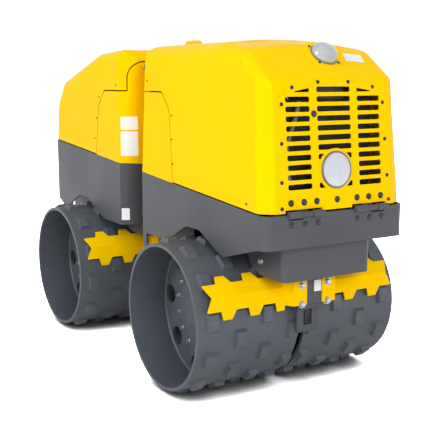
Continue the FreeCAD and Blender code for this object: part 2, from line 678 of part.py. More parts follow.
def drum():
    """One drum of a pair on the +Y side, centred on its axis: shell, web and lugs."""
    y0, y1 = DRUM_IN_Y, DRUM_OUT_Y
    shell = cyl(SHELL_R, (0, y0, 0), (0, 1, 0), y1 - y0)
    shell = shell.cut(cyl(SHELL_R - SHELL_T, (0, y0 - 1.0, 0), (0, 1, 0), y1 - y0 + 2.0))
    web = cyl(SHELL_R - SHELL_T, (0, WEB_OUT_Y - WEB_T, 0), (0, 1, 0), WEB_T)
    cuts = [cyl(SHAFT_R + WEB_BORE_GAP, (0, WEB_OUT_Y - WEB_T - 1.0, 0), (0, 1, 0), WEB_T + 2.0)]
    for i in range(WEB_HOLES):
        a = 2.0 * math.pi * (i + 0.88) / WEB_HOLES
        at = (WEB_HOLE_PCR * math.cos(a), WEB_OUT_Y - WEB_T - 1.0, WEB_HOLE_PCR * math.sin(a))
        cuts.append(cyl(WEB_HOLE_R, at, (0, 1, 0), WEB_T + 2.0))
    web = web.cut(cuts)
    lugs = []
    pitch_y = (y1 - SMOOTH_BAND - y0 - 4.0 - LUG_W) / (LUG_COLUMNS - 1)
    one = lug()
    for column in range(LUG_COLUMNS):
        y = y1 - SMOOTH_BAND - LUG_W / 2.0 - column * pitch_y
        phase = LUG_STEP / 4.0 if column % 2 == 0 else -LUG_STEP / 4.0
        for row in range(LUG_ROWS):
            piece = one.copy()
            piece.translate(V(0, y, 0))
            piece.rotate(V(0, 0, 0), V(0, 1, 0), -(phase + row * LUG_STEP))
            lugs.append(piece)
    return shell.fuse([web] + lugs)


def lug_bands():
    """Middles of the plain bands between lug columns, from the outside in."""
    pitch_y = (DRUM_OUT_Y - SMOOTH_BAND - DRUM_IN_Y - 4.0 - LUG_W) / (LUG_COLUMNS - 1)
    first = DRUM_OUT_Y - SMOOTH_BAND - LUG_W / 2.0
    return [first - pitch_y * (i + 0.5) for i in range(LUG_COLUMNS - 1)]


def axle():
    """Rotating shaft of a drum pair with a hub flange on each web."""
    reach = WEB_OUT_Y + HUB_T / 2.0
    shaft = cyl(SHAFT_R, (0, -reach, 0), (0, 1, 0), 2.0 * reach)
    hub = cyl(HUB_R, (0, WEB_OUT_Y, 0), (0, 1, 0), HUB_T)
    hub = hub.fuse(cyl(HUB_CAP_R, (0, WEB_OUT_Y + HUB_T, 0), (0, 1, 0), HUB_CAP_T))
    return shaft.fuse([hub, hub.mirror(V(0, 0, 0), V(0, 1, 0))]).removeSplitter()


def carrier():
    """Plate between two drums with the shaft housing, cross tubes and scraper heads."""
    x, low, top = CARRIER_HEAD_X, HEAD_LOW_Z - AXLE_Z, HEAD_TOP_Z - AXLE_Z
    reach = CROSS_X - CROSS_SIZE / 2.0
    foot = TIP_R + TIE_CLEAR - 2.0
    pts = [(-x, low), (-foot, low), (-HOUSING_R, -HOUSING_R * 0.9), (HOUSING_R, -HOUSING_R * 0.9),
           (foot, low), (x, low), (x, top), (reach, CARRIER_TOP), (-reach, CARRIER_TOP), (-x, top)]
    body = prism_xz(pts, -CARRIER_T / 2.0, CARRIER_T / 2.0)
    half = WEB_OUT_Y - WEB_T - HOUSING_END_GAP
    parts = [cyl(HOUSING_R, (0, -half, 0), (0, 1, 0), 2.0 * half)]
    cz = CROSS_Z - AXLE_Z
    h = CROSS_SIZE / 2.0
    for s in (-1.0, 1.0):
        parts.append(box(s * CROSS_X - h, s * CROSS_X + h, -CROSS_HALF, CROSS_HALF, cz - h, cz + h))
        x0, x1 = sorted((s * x, s * (x - HEAD_DEPTH)))
        parts.append(box(x0, x1, -HEAD_HALF_W, HEAD_HALF_W, low, top))
    body = body.fuse(parts)
    return body.cut(cyl(SHAFT_R + SHAFT_FIT, (0, -half - 1.0, 0), (0, 1, 0), 2.0 * half + 2.0))


def tie_down():
    """Slotted tie-down bracket under a carrier's outer head, relative to the axle."""
    back = TIP_R + TIE_CLEAR
    low, top = TIE_LOW_Z - AXLE_Z, HEAD_LOW_Z - AXLE_Z
    body = box(back, back + TIE_T, -TIE_HALF_W, TIE_HALF_W, low, top)
    body = body.fuse(box(back, CARRIER_HEAD_X, -TIE_HALF_W, TIE_HALF_W, top - TIE_T, top))
    slot_z = low + TIE_SLOT_LOW
    return body.cut(box(back - 1.0, back + TIE_T + 1.0, -TIE_SLOT_HALF, TIE_SLOT_HALF,
                        slot_z, slot_z + TIE_SLOT_H))


def aprons():
    """Aprons under the frame round both ends of a carrier, relative to the axle."""
    low, top = APRON_LOW_Z, DECK_Z
    x0, x1, w = APRON_BACK, APRON_END, APRON_HALF_W
    pts = [(0.0, -w), (x1, -w), (x1, w), (0.0, w)]
    r = [0.0, APRON_CORNER_R, APRON_CORNER_R, 0.0]
    ri = [0.0, APRON_CORNER_R - APRON_T, APRON_CORNER_R - APRON_T, 0.0]
    skin = prism_xy(pts, low, top, r).cut(prism_xy(inset(pts, [APRON_T] * 3 + [-20.0]), low - 1.0, top - APRON_T, ri))
    view = [(x0, top)] + [(x0 + x, low + z) for x, z in APRON_SWEEP] + [(BIG, low), (BIG, top)]
    skin = skin.common(prism_xz(view, -BIG, BIG, [0.0, 12.0, 30.0, 30.0, 0.0, 0.0, 0.0]))
    skin.translate(V(0, 0, -AXLE_Z))
    return skin, mirror_x(skin)


def tank_aprons():
    """Aprons of the tank half, cut clear of its end plate and of the trunnion bearing."""
    outer, inner = aprons()
    plate_x = TANK_END_X - FRAME_T - AXLE_X
    outer = outer.cut(box(plate_x - APRON_SEAT, BIG, -BIG, BIG, TANK_LOW_Z - FRAME_T - AXLE_Z, BIG))
    lid_x = APRON_END - APRON_T
    lid_z = TANK_LOW_Z - FRAME_T - APRON_T - AXLE_Z
    w = APRON_HALF_W - APRON_T
    outer = outer.fuse(box(plate_x - APRON_T, lid_x, -w, w, lid_z, lid_z + APRON_T))
    inner = inner.cut(cyl(BEARING_R + BEARING_CLEAR, (-AXLE_X, 0, TRUNNION_Z - AXLE_Z), (1, 0, 0), AXLE_X))
    return Part.makeCompound([outer, inner])


def rubber_mounts():
    """Rubber mounts between cross tubes and apron sides, relative to the axle."""
    out = []
    for sx in (-1.0, 1.0):
        for sy in (-1.0, 1.0):
            length = APRON_HALF_W - APRON_T - CROSS_HALF
            at = (sx * CROSS_X, sy * CROSS_HALF, CROSS_Z - AXLE_Z)
            out.append(cyl(MOUNT_R, at, (0, sy, 0), length))
    return Part.makeCompound(out)


def scraper():
    """One scraper on the +Y, outward side, relative to the axle."""
    mid, edge = SHELL_R + SCRAPER_MID, SHELL_R + SCRAPER_EDGE
    tip = math.sqrt((SHELL_R + SCRAPER_TIP_GAP + SCRAPER_T) ** 2 - SCRAPER_TIP_T ** 2)
    t, te, tt = SCRAPER_T, SCRAPER_EDGE_T, SCRAPER_TIP_T
    section = [(mid, 0.0), (edge, te), (tip, tt), (tip - t, tt), (edge - t, te), (mid - t, 0.0),
               (edge - t, -te), (tip - t, -tt), (tip, -tt), (edge, -te)]
    body = prism_xz(section, SCRAPER_IN_Y, SCRAPER_OUT_Y)
    keep = box(0.0, BIG, SCRAPER_IN_Y, SCRAPER_OUT_Y, -te, te)
    hw, rw = TOOTH_TIP_W / 2.0, TOOTH_ROOT_W / 2.0
    for y in lug_bands():
        pts = [(y - rw, te - 1.0), (y + rw, te - 1.0), (y + hw, tt + 1.0), (y - hw, tt + 1.0)]
        tooth = prism_yz(pts, 0.0, BIG)
        keep = keep.fuse([tooth, tooth.mirror(V(0, 0, 0), V(0, 0, 1))])
    body = body.common(keep)
    end = prism_yz([(SCRAPER_OUT_Y + 5.0, te + 5.0), (SCRAPER_OUT_Y - 18.0, 0.0), (SCRAPER_OUT_Y + 5.0, -te - 5.0)],
                   0.0, BIG)
    body = body.cut(end)
    body.rotate(V(0, 0, 0), V(0, 1, 0), -SCRAPER_ANGLE)
    x = CARRIER_HEAD_X
    low, top = HEAD_LOW_Z - AXLE_Z + 4.0, HEAD_TOP_Z - AXLE_Z - 4.0
    tab = box(x, x + t, SCRAPER_TAB_IN, SCRAPER_IN_Y + t, low, top)
    link = [(x + t, top), (x + t, low), (x - 70.0, low - 10.0), (x - 70.0, top)]
    link = prism_xz(link, SCRAPER_IN_Y, SCRAPER_IN_Y + t)
    skin = cyl(SHELL_R + SCRAPER_EDGE - t, (0, 0, 0), (0, 1, 0), DRUM_OUT_Y)
    link = link.cut(skin)
    return body.fuse([tab, link])


def scrapers():
    """All four scrapers of a half, relative to the axle."""
    one = scraper()
    two = [one, one.mirror(V(0, 0, 0), V(0, 1, 0))]
    return Part.makeCompound(two + [mirror_x(p) for p in two])


# ---------------------------------------------------------------- centre joint
def yoke():
    """Fork plates and pin on the engine half."""
    parts = []
    for z in (JOINT_LOW_Z, JOINT_TOP_Z - YOKE_T):
        plate = box(0.0, INNER_X, -YOKE_HALF_W, YOKE_HALF_W, z, z + YOKE_T)
        parts.append(plate.fuse(cyl(YOKE_HALF_W, (0, 0, z), (0, 0, 1), YOKE_T)))
    pin = cyl(PIN_R, (0, 0, JOINT_LOW_Z - 6.0), (0, 0, 1), JOINT_TOP_Z - JOINT_LOW_Z + 12.0)
    return pin.fuse(parts).removeSplitter()


def centre_link():
    """Block on the steering pin with a trunnion towards the tank half."""
    low = JOINT_LOW_Z + YOKE_T + LINK_GAP
    height = JOINT_TOP_Z - JOINT_LOW_Z - 2.0 * YOKE_T - 2.0 * LINK_GAP
    block = cyl(LINK_HALF, (0, 0, low), (0, 0, 1), height)
    trunnion = cyl(TRUNNION_R, (0, 0, TRUNNION_Z), (-1, 0, 0), INNER_X + BEARING_L)
    body = block.fuse(trunnion)
    bore = cyl(PIN_R + PIN_FIT, (0, 0, low - 1.0), (0, 0, 1), height + 2.0)
    return body.cut(bore)


def trunnion_bearing():
    """Bearing housing of the trunnion inside the tank half's inner plate."""
    body = cyl(BEARING_R, (-INNER_X - FRAME_T, 0, TRUNNION_Z), (-1, 0, 0), BEARING_L - FRAME_T - 4.0)
    bore = cyl(TRUNNION_R + PIN_FIT, (-INNER_X + 5.0, 0, TRUNNION_Z), (-1, 0, 0), BEARING_L + 40.0)
    return body.cut(bore)


def latches():
    """Round hood latches on the inner end of the tank half's fixed cover."""
    body = cyl(LATCH_R, (-INNER_X, LATCH_Y, LATCH_Z), (1, 0, 0), LATCH_T)
    rim = [e for e in body.Edges if e.BoundBox.XMin > -INNER_X + LATCH_T - 0.01]
    return both_sides(body.makeFillet(LATCH_EDGE, rim))


def lifting_mast():
    """Mast with the single-point lifting eye, standing on the yoke."""
    body = box(-MAST_HALF, MAST_HALF, -MAST_T / 2.0, MAST_T / 2.0, JOINT_TOP_Z + 6.0, MAST_TOP_Z)
    tops = [e for e in body.Edges if e.BoundBox.ZMin > MAST_TOP_Z - 0.01 and e.BoundBox.YLength > 1.0]
    body = body.makeFillet(24.0, tops)
    return body.cut(cyl(EYE_R, (0, -MAST_T, MAST_TOP_Z - EYE_DROP), (0, 1, 0), 2.0 * MAST_T))


# ---------------------------------------------------------------- grille end
def lean(shape):
    """Set a shape built upright at X = 0 onto the leaning grille face."""
    angle = math.degrees(math.atan(GRILLE_LEAN))
    shape.rotate(V(0, 0, GRILLE_Z), V(0, 1, 0), -angle)
    shape.translate(V(GRILLE_X, 0, 0))
    return shape


def panel_outline(margin):
    """Half-symmetric outline of the grille panel in Y and Z, counter-clockwise."""
    low = PANEL_LOW_Z
    m = margin
    right = [(PANEL_HALF_LOW - m, low), (PANEL_HALF_HIGH - m, PANEL_SHOULDER_Z),
             (PANEL_CORNER_HALF - m * 0.6, PANEL_CORNER_Z - m)]
    left = [(-y, z) for y, z in reversed(right)]
    return right + [(0.0, PANEL_TOP_Z - m)] + left


def slot(y0, y1, z):
    """One rounded ventilation slot through the panel."""
    h = SLOT_H / 2.0
    pts = [(y0, z - h), (y1, z - h), (y1, z + h), (y0, z + h)]
    return prism_yz(pts, -30.0, 30.0, [h * 0.7] * 4)


def grille_panel():
    """Slotted grille panel."""
    radii = [0.0, 30.0, 30.0, 180.0, 30.0, 30.0, 0.0]
    panel = prism_yz(panel_outline(0.0), -PANEL_T, 0.0, radii)
    slots = []
    for row in range(SLOT_ROWS):
        z = SLOT_TOP_Z - row * SLOT_PITCH
        slots.append(slot(SLOT_SIDE_IN, SLOT_SIDE_OUT, z))
        slots.append(slot(-SLOT_SIDE_OUT, -SLOT_SIDE_IN, z))
        slots.append(slot(-SLOT_MID_HALF, SLOT_MID_HALF, z))
    z = SLOT_TOP_Z + SLOT_PITCH
    slots.append(slot(-SLOT_MID_HALF, SLOT_MID_HALF, z))
    for s in (-1.0, 1.0):
        wedge = [(s * SLOT_SIDE_IN, z - 8.0), (s * WEDGE_OUT, z - 8.0), (s * WEDGE_OUT, z - 8.0 + WEDGE_RISE),
                 (s * SLOT_SIDE_IN, z + 5.0)]
        slots.append(prism_yz(wedge, -30.0, 30.0))
    land = cyl(BADGE_R + BADGE_LAND, (-30.0, 0, BADGE_Z), (1, 0, 0), 60.0)
    cuts = Part.makeCompound(slots).cut(land)
    return lean(panel.cut(cuts))


def badge():
    """Blank badge disc on the panel."""
    return lean(cyl(BADGE_R, (0, 0, BADGE_Z), (1, 0, 0), BADGE_T))


def grille_opening():
    """Opening of the hood behind the grille panel."""
    pts = panel_outline(PANEL_MARGIN)
    pts[0] = (pts[0][0], GRILLE_Z + 24.0)
    pts[-1] = (pts[-1][0], GRILLE_Z + 24.0)
    return lean(prism_yz(pts, -60.0, 40.0))


def panel_seat():
    """Shallow recess of the hood that the grille panel lies in."""
    return lean(prism_yz(panel_outline(-0.5), -PANEL_T, 40.0))


def brow_point(x):
    """Height of the hood's brow slope at x and its tilt in degrees."""
    knee_x = engine_face(KNEE_Z)
    slope = (BROW_Z - KNEE_Z) / (BROW_X - knee_x)
    return KNEE_Z + slope * (x - knee_x), math.degrees(math.atan(-slope))


def on_brow(shape):
    """Set a shape built upright at the origin onto the brow slope under the lens."""
    z, tilt = brow_point(LENS_X)
    shape.rotate(V(0, 0, 0), V(0, 1, 0), tilt)
    shape.translate(V(LENS_X, 0, z))
    return shape


def lens():
    """Smoked receiver dome, a cap of a sphere."""
    r = (LENS_R ** 2 + LENS_H ** 2) / (2.0 * LENS_H)
    ball = Part.makeSphere(r, V(0, 0, LENS_PAD_H + LENS_H - r))
    return on_brow(ball.common(cyl(LENS_R + 1.0, (0, 0, LENS_PAD_H), (0, 0, 1), 2.0 * LENS_H)))


def build():
    """Write every node."""
    os.makedirs("parts", exist_ok=True)
    hood_e = hood(engine_profile, ENGINE_END_X, 1.0).cut(notches(ENGINE_END_X, 1.0))
    pad = on_brow(Part.makeCone(LENS_PAD_R + 14.0, LENS_PAD_R, LENS_PAD_H + 2.0, V(0, 0, -2.0)))
    hood_e = hood_e.fuse(pad).cut(grille_opening()).cut(panel_seat())
    save("engine_hood", hood_e)
    save("engine_inner_cover", fixed_cover(engine_profile, ENGINE_END_X, 1.0))
    save("grille_panel", grille_panel().cut(notches(ENGINE_END_X, 1.0)))
    save("badge_disc", badge())
    save("receiver_lens", lens())
    save("engine_frame", frame(ENGINE_END_X, 1.0, engine_low()))
    save("engine_hinge_blocks", hinge_block(ENGINE_END_X, 1.0))
    save("engine_hinge_leaves", hinge_leaf(ENGINE_END_X, 1.0, engine_face))
    save("tank_hood", mirror_x(hood(tank_profile, TANK_END_X, -1.0).cut(notches(TANK_END_X, -1.0))))
    save("tank_inner_cover", mirror_x(fixed_cover(tank_profile, TANK_END_X, -1.0)))
    save("tank_frame", mirror_x(frame(TANK_END_X, -1.0, tank_low())))
    save("tank_hinge_blocks", mirror_x(hinge_block(TANK_END_X, -1.0)))
    save("tank_hinge_leaves", mirror_x(hinge_leaf(TANK_END_X, -1.0, tank_face)))
    for name, sign in (("engine", 1.0), ("tank", -1.0)):
        shift = V(sign * AXLE_X, 0, AXLE_Z)

        def placed(shape):
            out = shape.copy()
            if sign < 0:
                out = mirror_x(out)
            out.translate(shift)
            return out

        one = drum()
        save(name + "_drum_left", placed(one))
        save(name + "_drum_right", placed(one.mirror(V(0, 0, 0), V(0, 1, 0))))
        save(name + "_axle", placed(axle()))
        save(name + "_carrier", placed(carrier()))
        save(name + "_tie_down", placed(tie_down()))
        save(name + "_aprons", placed(Part.makeCompound(aprons()) if sign > 0 else tank_aprons()))
        save(name + "_rubber_mounts", placed(rubber_mounts()))
        save(name + "_scrapers", placed(scrapers()))
    save("yoke", yoke())
    save("centre_link", centre_link())
    save("trunnion_bearing", trunnion_bearing())
    save("tank_latches", latches())
    save("lifting_mast", lifting_mast())
    floor, w = DECK_Z + DECK_T, BLOCK_HALF_W
    save("engine_block", box(INNER_X + ENGINE_BLOCK_IN, ENGINE_END_X - ENGINE_BLOCK_OUT, -w, w,
                             floor, ENGINE_ROOF_Z - ENGINE_BLOCK_DROP))
    x1 = ENGINE_END_X - RADIATOR_OUT
    save("radiator", box(x1 - RADIATOR_T, x1, -RADIATOR_HALF_W, RADIATOR_HALF_W,
                         floor, PANEL_SHOULDER_Z - RADIATOR_DROP))
    save("tank_block", box(TANKS_OUT - TANK_END_X, -INNER_X - TANKS_IN, -w, w,
                           floor, TANK_FACE_Z - TANKS_DROP))


build()
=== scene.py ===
"""Looks of an articulated trench roller: finishes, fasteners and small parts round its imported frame."""

import json
import logging
import math
from dataclasses import dataclass, field
from enum import Enum
from typing import Iterable, Sequence

import bmesh
import bpy
from mathutils import Matrix, Vector


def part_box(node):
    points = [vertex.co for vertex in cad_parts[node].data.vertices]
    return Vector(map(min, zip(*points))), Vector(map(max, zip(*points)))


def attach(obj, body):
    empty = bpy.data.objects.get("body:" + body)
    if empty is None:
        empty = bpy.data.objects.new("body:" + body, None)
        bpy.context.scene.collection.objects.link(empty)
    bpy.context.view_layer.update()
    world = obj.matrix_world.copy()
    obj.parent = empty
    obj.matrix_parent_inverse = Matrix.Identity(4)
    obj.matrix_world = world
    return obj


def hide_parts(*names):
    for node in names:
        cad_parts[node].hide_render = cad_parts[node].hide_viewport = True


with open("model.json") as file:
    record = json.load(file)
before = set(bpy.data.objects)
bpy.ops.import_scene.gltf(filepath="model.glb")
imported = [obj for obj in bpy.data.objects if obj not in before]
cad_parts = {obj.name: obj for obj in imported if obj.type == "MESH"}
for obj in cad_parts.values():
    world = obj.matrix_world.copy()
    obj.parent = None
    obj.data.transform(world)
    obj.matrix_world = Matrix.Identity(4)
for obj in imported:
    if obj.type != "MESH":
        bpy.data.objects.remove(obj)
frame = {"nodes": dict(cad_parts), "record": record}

LOG = logging.getLogger("trench_roller")
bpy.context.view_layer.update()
MM = 0.001
HALVES = (("engine", 1), ("tank", -1))  # each half and the way along X that its end looks
SIDES = ((-1, "right"), (1, "left"))
WHITE = (1.0, 1.0, 1.0, 1.0)

Flat = tuple[float, float]
Point = tuple[float, float, float]
Colour = tuple[float, float, float, float]
Mesh = bmesh.types.BMesh
Node = bpy.types.Node
NodeTree = bpy.types.NodeTree
Socket = bpy.types.NodeSocket
Outputs = bpy.types.NodeOutputs


def srgb(*screen: int) -> Colour:
    """Linear colour with full alpha of a red, green and blue as a screen shows them, 0 to 255."""
    shares = [value / 255.0 for value in screen]
    return (*(s / 12.92 if s <= 0.04045 else ((s + 0.055) / 1.055) ** 2.4 for s in shares), 1.0)


def mm(*values: float) -> Vector:
    """Point given in millimetres, in metres."""
    return Vector(values) * MM


def middle(box: tuple[Vector, Vector]) -> Point:
    """Middle of a box."""
    return tuple((box[0] + box[1]) / 2)


# ------------------------------------------------------------------ shader trees
class Tree:
    """Adds nodes and links to one shader or group tree."""

    def __init__(self, tree: NodeTree) -> None:
        """Keep the tree."""
        self.tree = tree

    def set(self, node: Node, *inputs: object, **values: object) -> Node:
        """Set a node up; an input that is given a socket is linked to it.

        Args:
            node: The node.
            *inputs: What its inputs get, in order; None leaves one as it is.
            **values: Its properties by name; names that are not properties are inputs.

        Returns:
            The node.
        """
        pairs = list(zip(node.inputs, inputs))
        for key, value in values.items():
            if hasattr(node, key):
                setattr(node, key, value)
            else:
                pairs.append((node.inputs[key.replace("_", " ")], value))
        for socket, value in pairs:
            if isinstance(value, Socket):
                self.tree.links.new(value, socket)
            elif value is not None:
                socket.default_value = value
        return node

    def add(self, kind: str, *inputs: object, **values: object) -> Node:
        """Add a node of one of Blender's kinds and set it up."""
        return self.set(self.tree.nodes.new(kind), *inputs, **values)

    def math(self, operation: str, *values: object, clamp: bool = False) -> Socket:
        """Result of a math operation on sockets or numbers."""
        return self.add("ShaderNodeMath", *values, operation=operation, use_clamp=clamp).outputs[0]

    def plus(self, a: object, b: object, clamp: bool = False) -> Socket:
        """Sum of two sockets or numbers."""
        return self.math("ADD", a, b, clamp=clamp)

    def times(self, a: object, b: object, clamp: bool = False) -> Socket:
        """Product of two sockets or numbers."""
        return self.math("MULTIPLY", a, b, clamp=clamp)

    def span(self, value: object, low: object, high: object,
             start: object = 0.0, end: object = 1.0) -> Socket:
        """Value carried smoothly from the range low to high to the range start to end."""
        node = self.add("ShaderNodeMapRange", value, low, high, start, end, interpolation_type="SMOOTHSTEP")
        return node.outputs[0]

    def mix(self, share: object, a: object, b: object) -> Socket:
        """Colour mixed from a to b by share."""
        return self.add("ShaderNodeMix", share, *[None] * 5, a, b, data_type="RGBA").outputs[2]

    def place(self, stretch: Point = (1.0, 1.0, 1.0), shift: Point = (0.0, 0.0, 0.0)) -> Socket:
        """Object coordinates, stretched and then shifted."""
        where = self.add("ShaderNodeTexCoord").outputs["Object"]
        return self.add("ShaderNodeMapping", Vector=where, Location=shift, Scale=stretch).outputs[0]

    def axes(self, shift: Point = (0.0, 0.0, 0.0)) -> Outputs:
        """Shifted object coordinates as the sockets X, Y and Z."""
        return self.add("ShaderNodeSeparateXYZ", Vector=self.place(shift=shift)).outputs

    def noise(self, scale: object, detail: float, rough: float = 0.5, vector: Socket | None = None) -> Socket:
        """Noise laid in a vector, or in the object's own coordinates."""
        return self.add("ShaderNodeTexNoise", Scale=scale, Detail=detail, Roughness=rough,
                        Vector=vector or self.place()).outputs[0]


class Effect(Enum):
    """Shared effects, each a node group that is built once by the method of its name."""

    PEEL = "paint_peel"
    MOTTLE = "colour_mottle"
    DUST = "low_dust"
    CAST = "cast_skin"
    SCUFF = "rubbed_paint"
    BRUSH = "brushed_lines"


class Effects:
    """Builds the shared effects."""

    made: dict[Effect, NodeTree] = {}
    colours = ("Color", "Tint", "Dust")

    @classmethod
    def group(cls, effect: Effect) -> NodeTree:
        """Give the node group of an effect, which is built at its first use.

        Args:
            effect: The effect.

        Returns:
            Its group.
        """
        if effect not in cls.made:
            getattr(cls, effect.value)()
        return cls.made[effect]

    @classmethod
    def start(cls, effect: Effect, inputs: str, outputs: str) -> tuple[Tree, Outputs, Node]:
        """Start a group with its sockets.

        Args:
            effect: The effect that it makes.
            inputs: Names of its inputs.
            outputs: Names of its outputs.

        Returns:
            Its tree, what comes in, by name, and the node that takes what goes out.
        """
        group = cls.made[effect] = bpy.data.node_groups.new(effect.value, "ShaderNodeTree")
        for way, names in (("INPUT", inputs), ("OUTPUT", outputs)):
            for name in names.split():
                kind = "NodeSocketColor" if name in cls.colours else "NodeSocketFloat"
                group.interface.new_socket(name=name, in_out=way, socket_type=kind)
        return Tree(group), group.nodes.new("NodeGroupInput").outputs, group.nodes.new("NodeGroupOutput")

    @classmethod
    def paint_peel(cls) -> None:
        """Fine waviness of sprayed paint."""
        tree, given, out = cls.start(Effect.PEEL, "Scale", "Height")
        broad_scale, broad_share = 0.31, 0.6
        fine = tree.noise(given["Scale"], detail=2.0)
        broad = tree.noise(tree.times(given["Scale"], broad_scale), detail=1.0)
        tree.set(out, Height=tree.plus(fine, tree.times(broad, broad_share)))

    @classmethod
    def colour_mottle(cls) -> None:
        """Slow change of colour over a surface."""
        tree, given, out = cls.start(Effect.MOTTLE, "Color Tint Scale Amount", "Color Mask")
        mask = tree.span(tree.noise(given["Scale"], detail=4.0), low=0.38, high=0.66)
        share = tree.times(mask, given["Amount"])
        tree.set(out, Color=tree.mix(share, given["Color"], given["Tint"]), Mask=mask)

    @classmethod
    def low_dust(cls) -> None:
        """Dust that thickens towards the ground."""
        tree, given, out = cls.start(Effect.DUST, "Color Dust Low High Amount", "Color Mask")
        level = tree.span(tree.axes()["Z"], given["Low"], given["High"], start=1.0, end=0.0)
        patch = tree.span(tree.noise(scale=9.0, detail=6.0, rough=0.62), low=0.36, high=0.74)
        mask = tree.times(tree.times(level, patch), given["Amount"], clamp=True)
        tree.set(out, Color=tree.mix(mask, given["Color"], given["Dust"]), Mask=mask)

    @classmethod
    def cast_skin(cls) -> None:
        """Skin of rolled or cast steel under paint: small pits and a slow wave."""
        tree, given, out = cls.start(Effect.CAST, "Scale", "Height Mask")
        wave_scale, pit_share = 0.06, 0.5
        pits = tree.noise(given["Scale"], detail=5.0, rough=0.62)
        wave = tree.noise(tree.times(given["Scale"], wave_scale), detail=2.0)
        height = tree.plus(tree.times(pits, pit_share), wave)
        tree.set(out, Height=height, Mask=tree.span(pits, low=0.35, high=0.65))

    @classmethod
    def rubbed_paint(cls) -> None:
        """Rubbed places, as short strokes along X."""
        tree, given, out = cls.start(Effect.SCUFF, "Scale Cover", "Mask")
        cross_scale, cross_base, bare_edge, cover_share, softness = 0.35, 0.5, 0.72, 0.4, 0.12
        along = tree.noise(given["Scale"], detail=5.0, rough=0.7, vector=tree.place((0.25, 1.0, 1.0)))
        cross = tree.noise(tree.times(given["Scale"], cross_scale), detail=3.0)
        value = tree.times(along, tree.plus(cross, cross_base))
        edge = tree.math("SUBTRACT", bare_edge, tree.times(given["Cover"], cover_share))
        tree.set(out, Mask=tree.span(value, edge, tree.plus(edge, softness)))

    @classmethod
    def brushed_lines(cls) -> None:
        """Fine brushed lines along Y."""
        tree, given, out = cls.start(Effect.BRUSH, "Scale", "Height Mask")
        lines = tree.noise(given["Scale"], detail=4.0, rough=0.6, vector=tree.place((1.0, 0.03, 1.0)))
        tree.set(out, Height=lines, Mask=tree.span(lines, low=0.3, high=0.7))


class Surface(Tree):
    """A material's tree round its one shader."""

    def __init__(self, material: bpy.types.Material) -> None:
        """Start the tree of a material.

        Args:
            material: The material.
        """
        material.use_nodes = True
        super().__init__(material.node_tree)
        self.shader = self.tree.nodes["Principled BSDF"]

    def show(self, **values: object) -> None:
        """Set input sockets of the shader."""
        self.set(self.shader, **values)

    def effect(self, effect: Effect, **inputs: object) -> Outputs:
        """Outputs of a shared effect, placed with values or links of its named inputs."""
        return self.add("ShaderNodeGroup", node_tree=Effects.group(effect), **inputs).outputs

    def bump(self, height: Socket, strength: float, distance: float) -> None:
        """Turn a height into the shader's normal."""
        node = self.add("ShaderNodeBump", Strength=strength, Distance=distance, Height=height)
        self.show(Normal=node.outputs["Normal"])


# ------------------------------------------------------------------ finishes
@dataclass(frozen=True)
class Finish:
    """A surface finish; each kind lays its own effects round one shader."""

    name: str
    slot: str
    colour: Colour
    roughness: float = 0.5
    metallic: float = 0.0

    def material(self) -> bpy.types.Material:
        """Give the finish's material, which is made at its first use.

        Returns:
            The material.
        """
        found = bpy.data.materials.get(self.name)
        if found:
            return found
        made = bpy.data.materials.new(self.name)
        made.diffuse_color = self.colour
        on = Surface(made)
        on.show(Base_Color=self.colour, Roughness=self.roughness, Metallic=self.metallic)
        self.lay(on)
        return made

    def lay(self, on: Surface) -> None:
        """Lay the finish's own effects.

        Args:
            on: The material's surface.
        """
        raise NotImplementedError

    def tone(self, on: Surface, tint: Colour, scale: float, amount: float) -> Outputs:
        """Colour that changes slowly towards a tint, and the mask of where it does."""
        return on.effect(Effect.MOTTLE, Color=self.colour, Tint=tint, Scale=scale, Amount=amount)

    def dull(self, on: Surface, mask: Socket, low: float, high: float) -> Socket:
        """Roughness that a mask carries from low to high, both counted from the finish's own."""
        return on.span(mask, 0.0, 1.0, self.roughness + low, self.roughness + high)


@dataclass(frozen=True)
class Paint(Finish):
    """Sprayed paint or gelcoat: fine waves, slow mottle, dust near the ground."""

    tint: Colour = (0.0, 0.0, 0.0, 1.0)
    mottle: float = 0.15
    mottle_scale: float = 3.1
    mottle_dull: float = 0.06
    gloss: float = 0.3
    wave: float = 0.06
    wave_scale: float = 900.0
    wave_depth: float = 0.0006
    dust: float = 0.0
    dust_colour: Colour = srgb(150, 143, 132)
    dust_top: float = 0.7
    dust_dull: float = 0.3

    def lay(self, on: Surface) -> None:
        """Lay mottle and dust in the colour, waves in the normal.

        Args:
            on: The material's surface.
        """
        tone = self.tone(on, self.tint, self.mottle_scale, self.mottle)
        dust = on.effect(Effect.DUST, Color=tone["Color"], Dust=self.dust_colour, Low=0.0, High=self.dust_top,
                         Amount=self.dust)
        dull = self.dull(on, tone["Mask"], 0.0, self.mottle_dull)
        dull = on.plus(dull, on.times(dust["Mask"], self.dust_dull), clamp=True)
        on.show(Base_Color=dust["Color"], Roughness=dull, Specular_IOR_Level=self.gloss)
        on.bump(on.effect(Effect.PEEL, Scale=self.wave_scale)["Height"], self.wave, self.wave_depth)


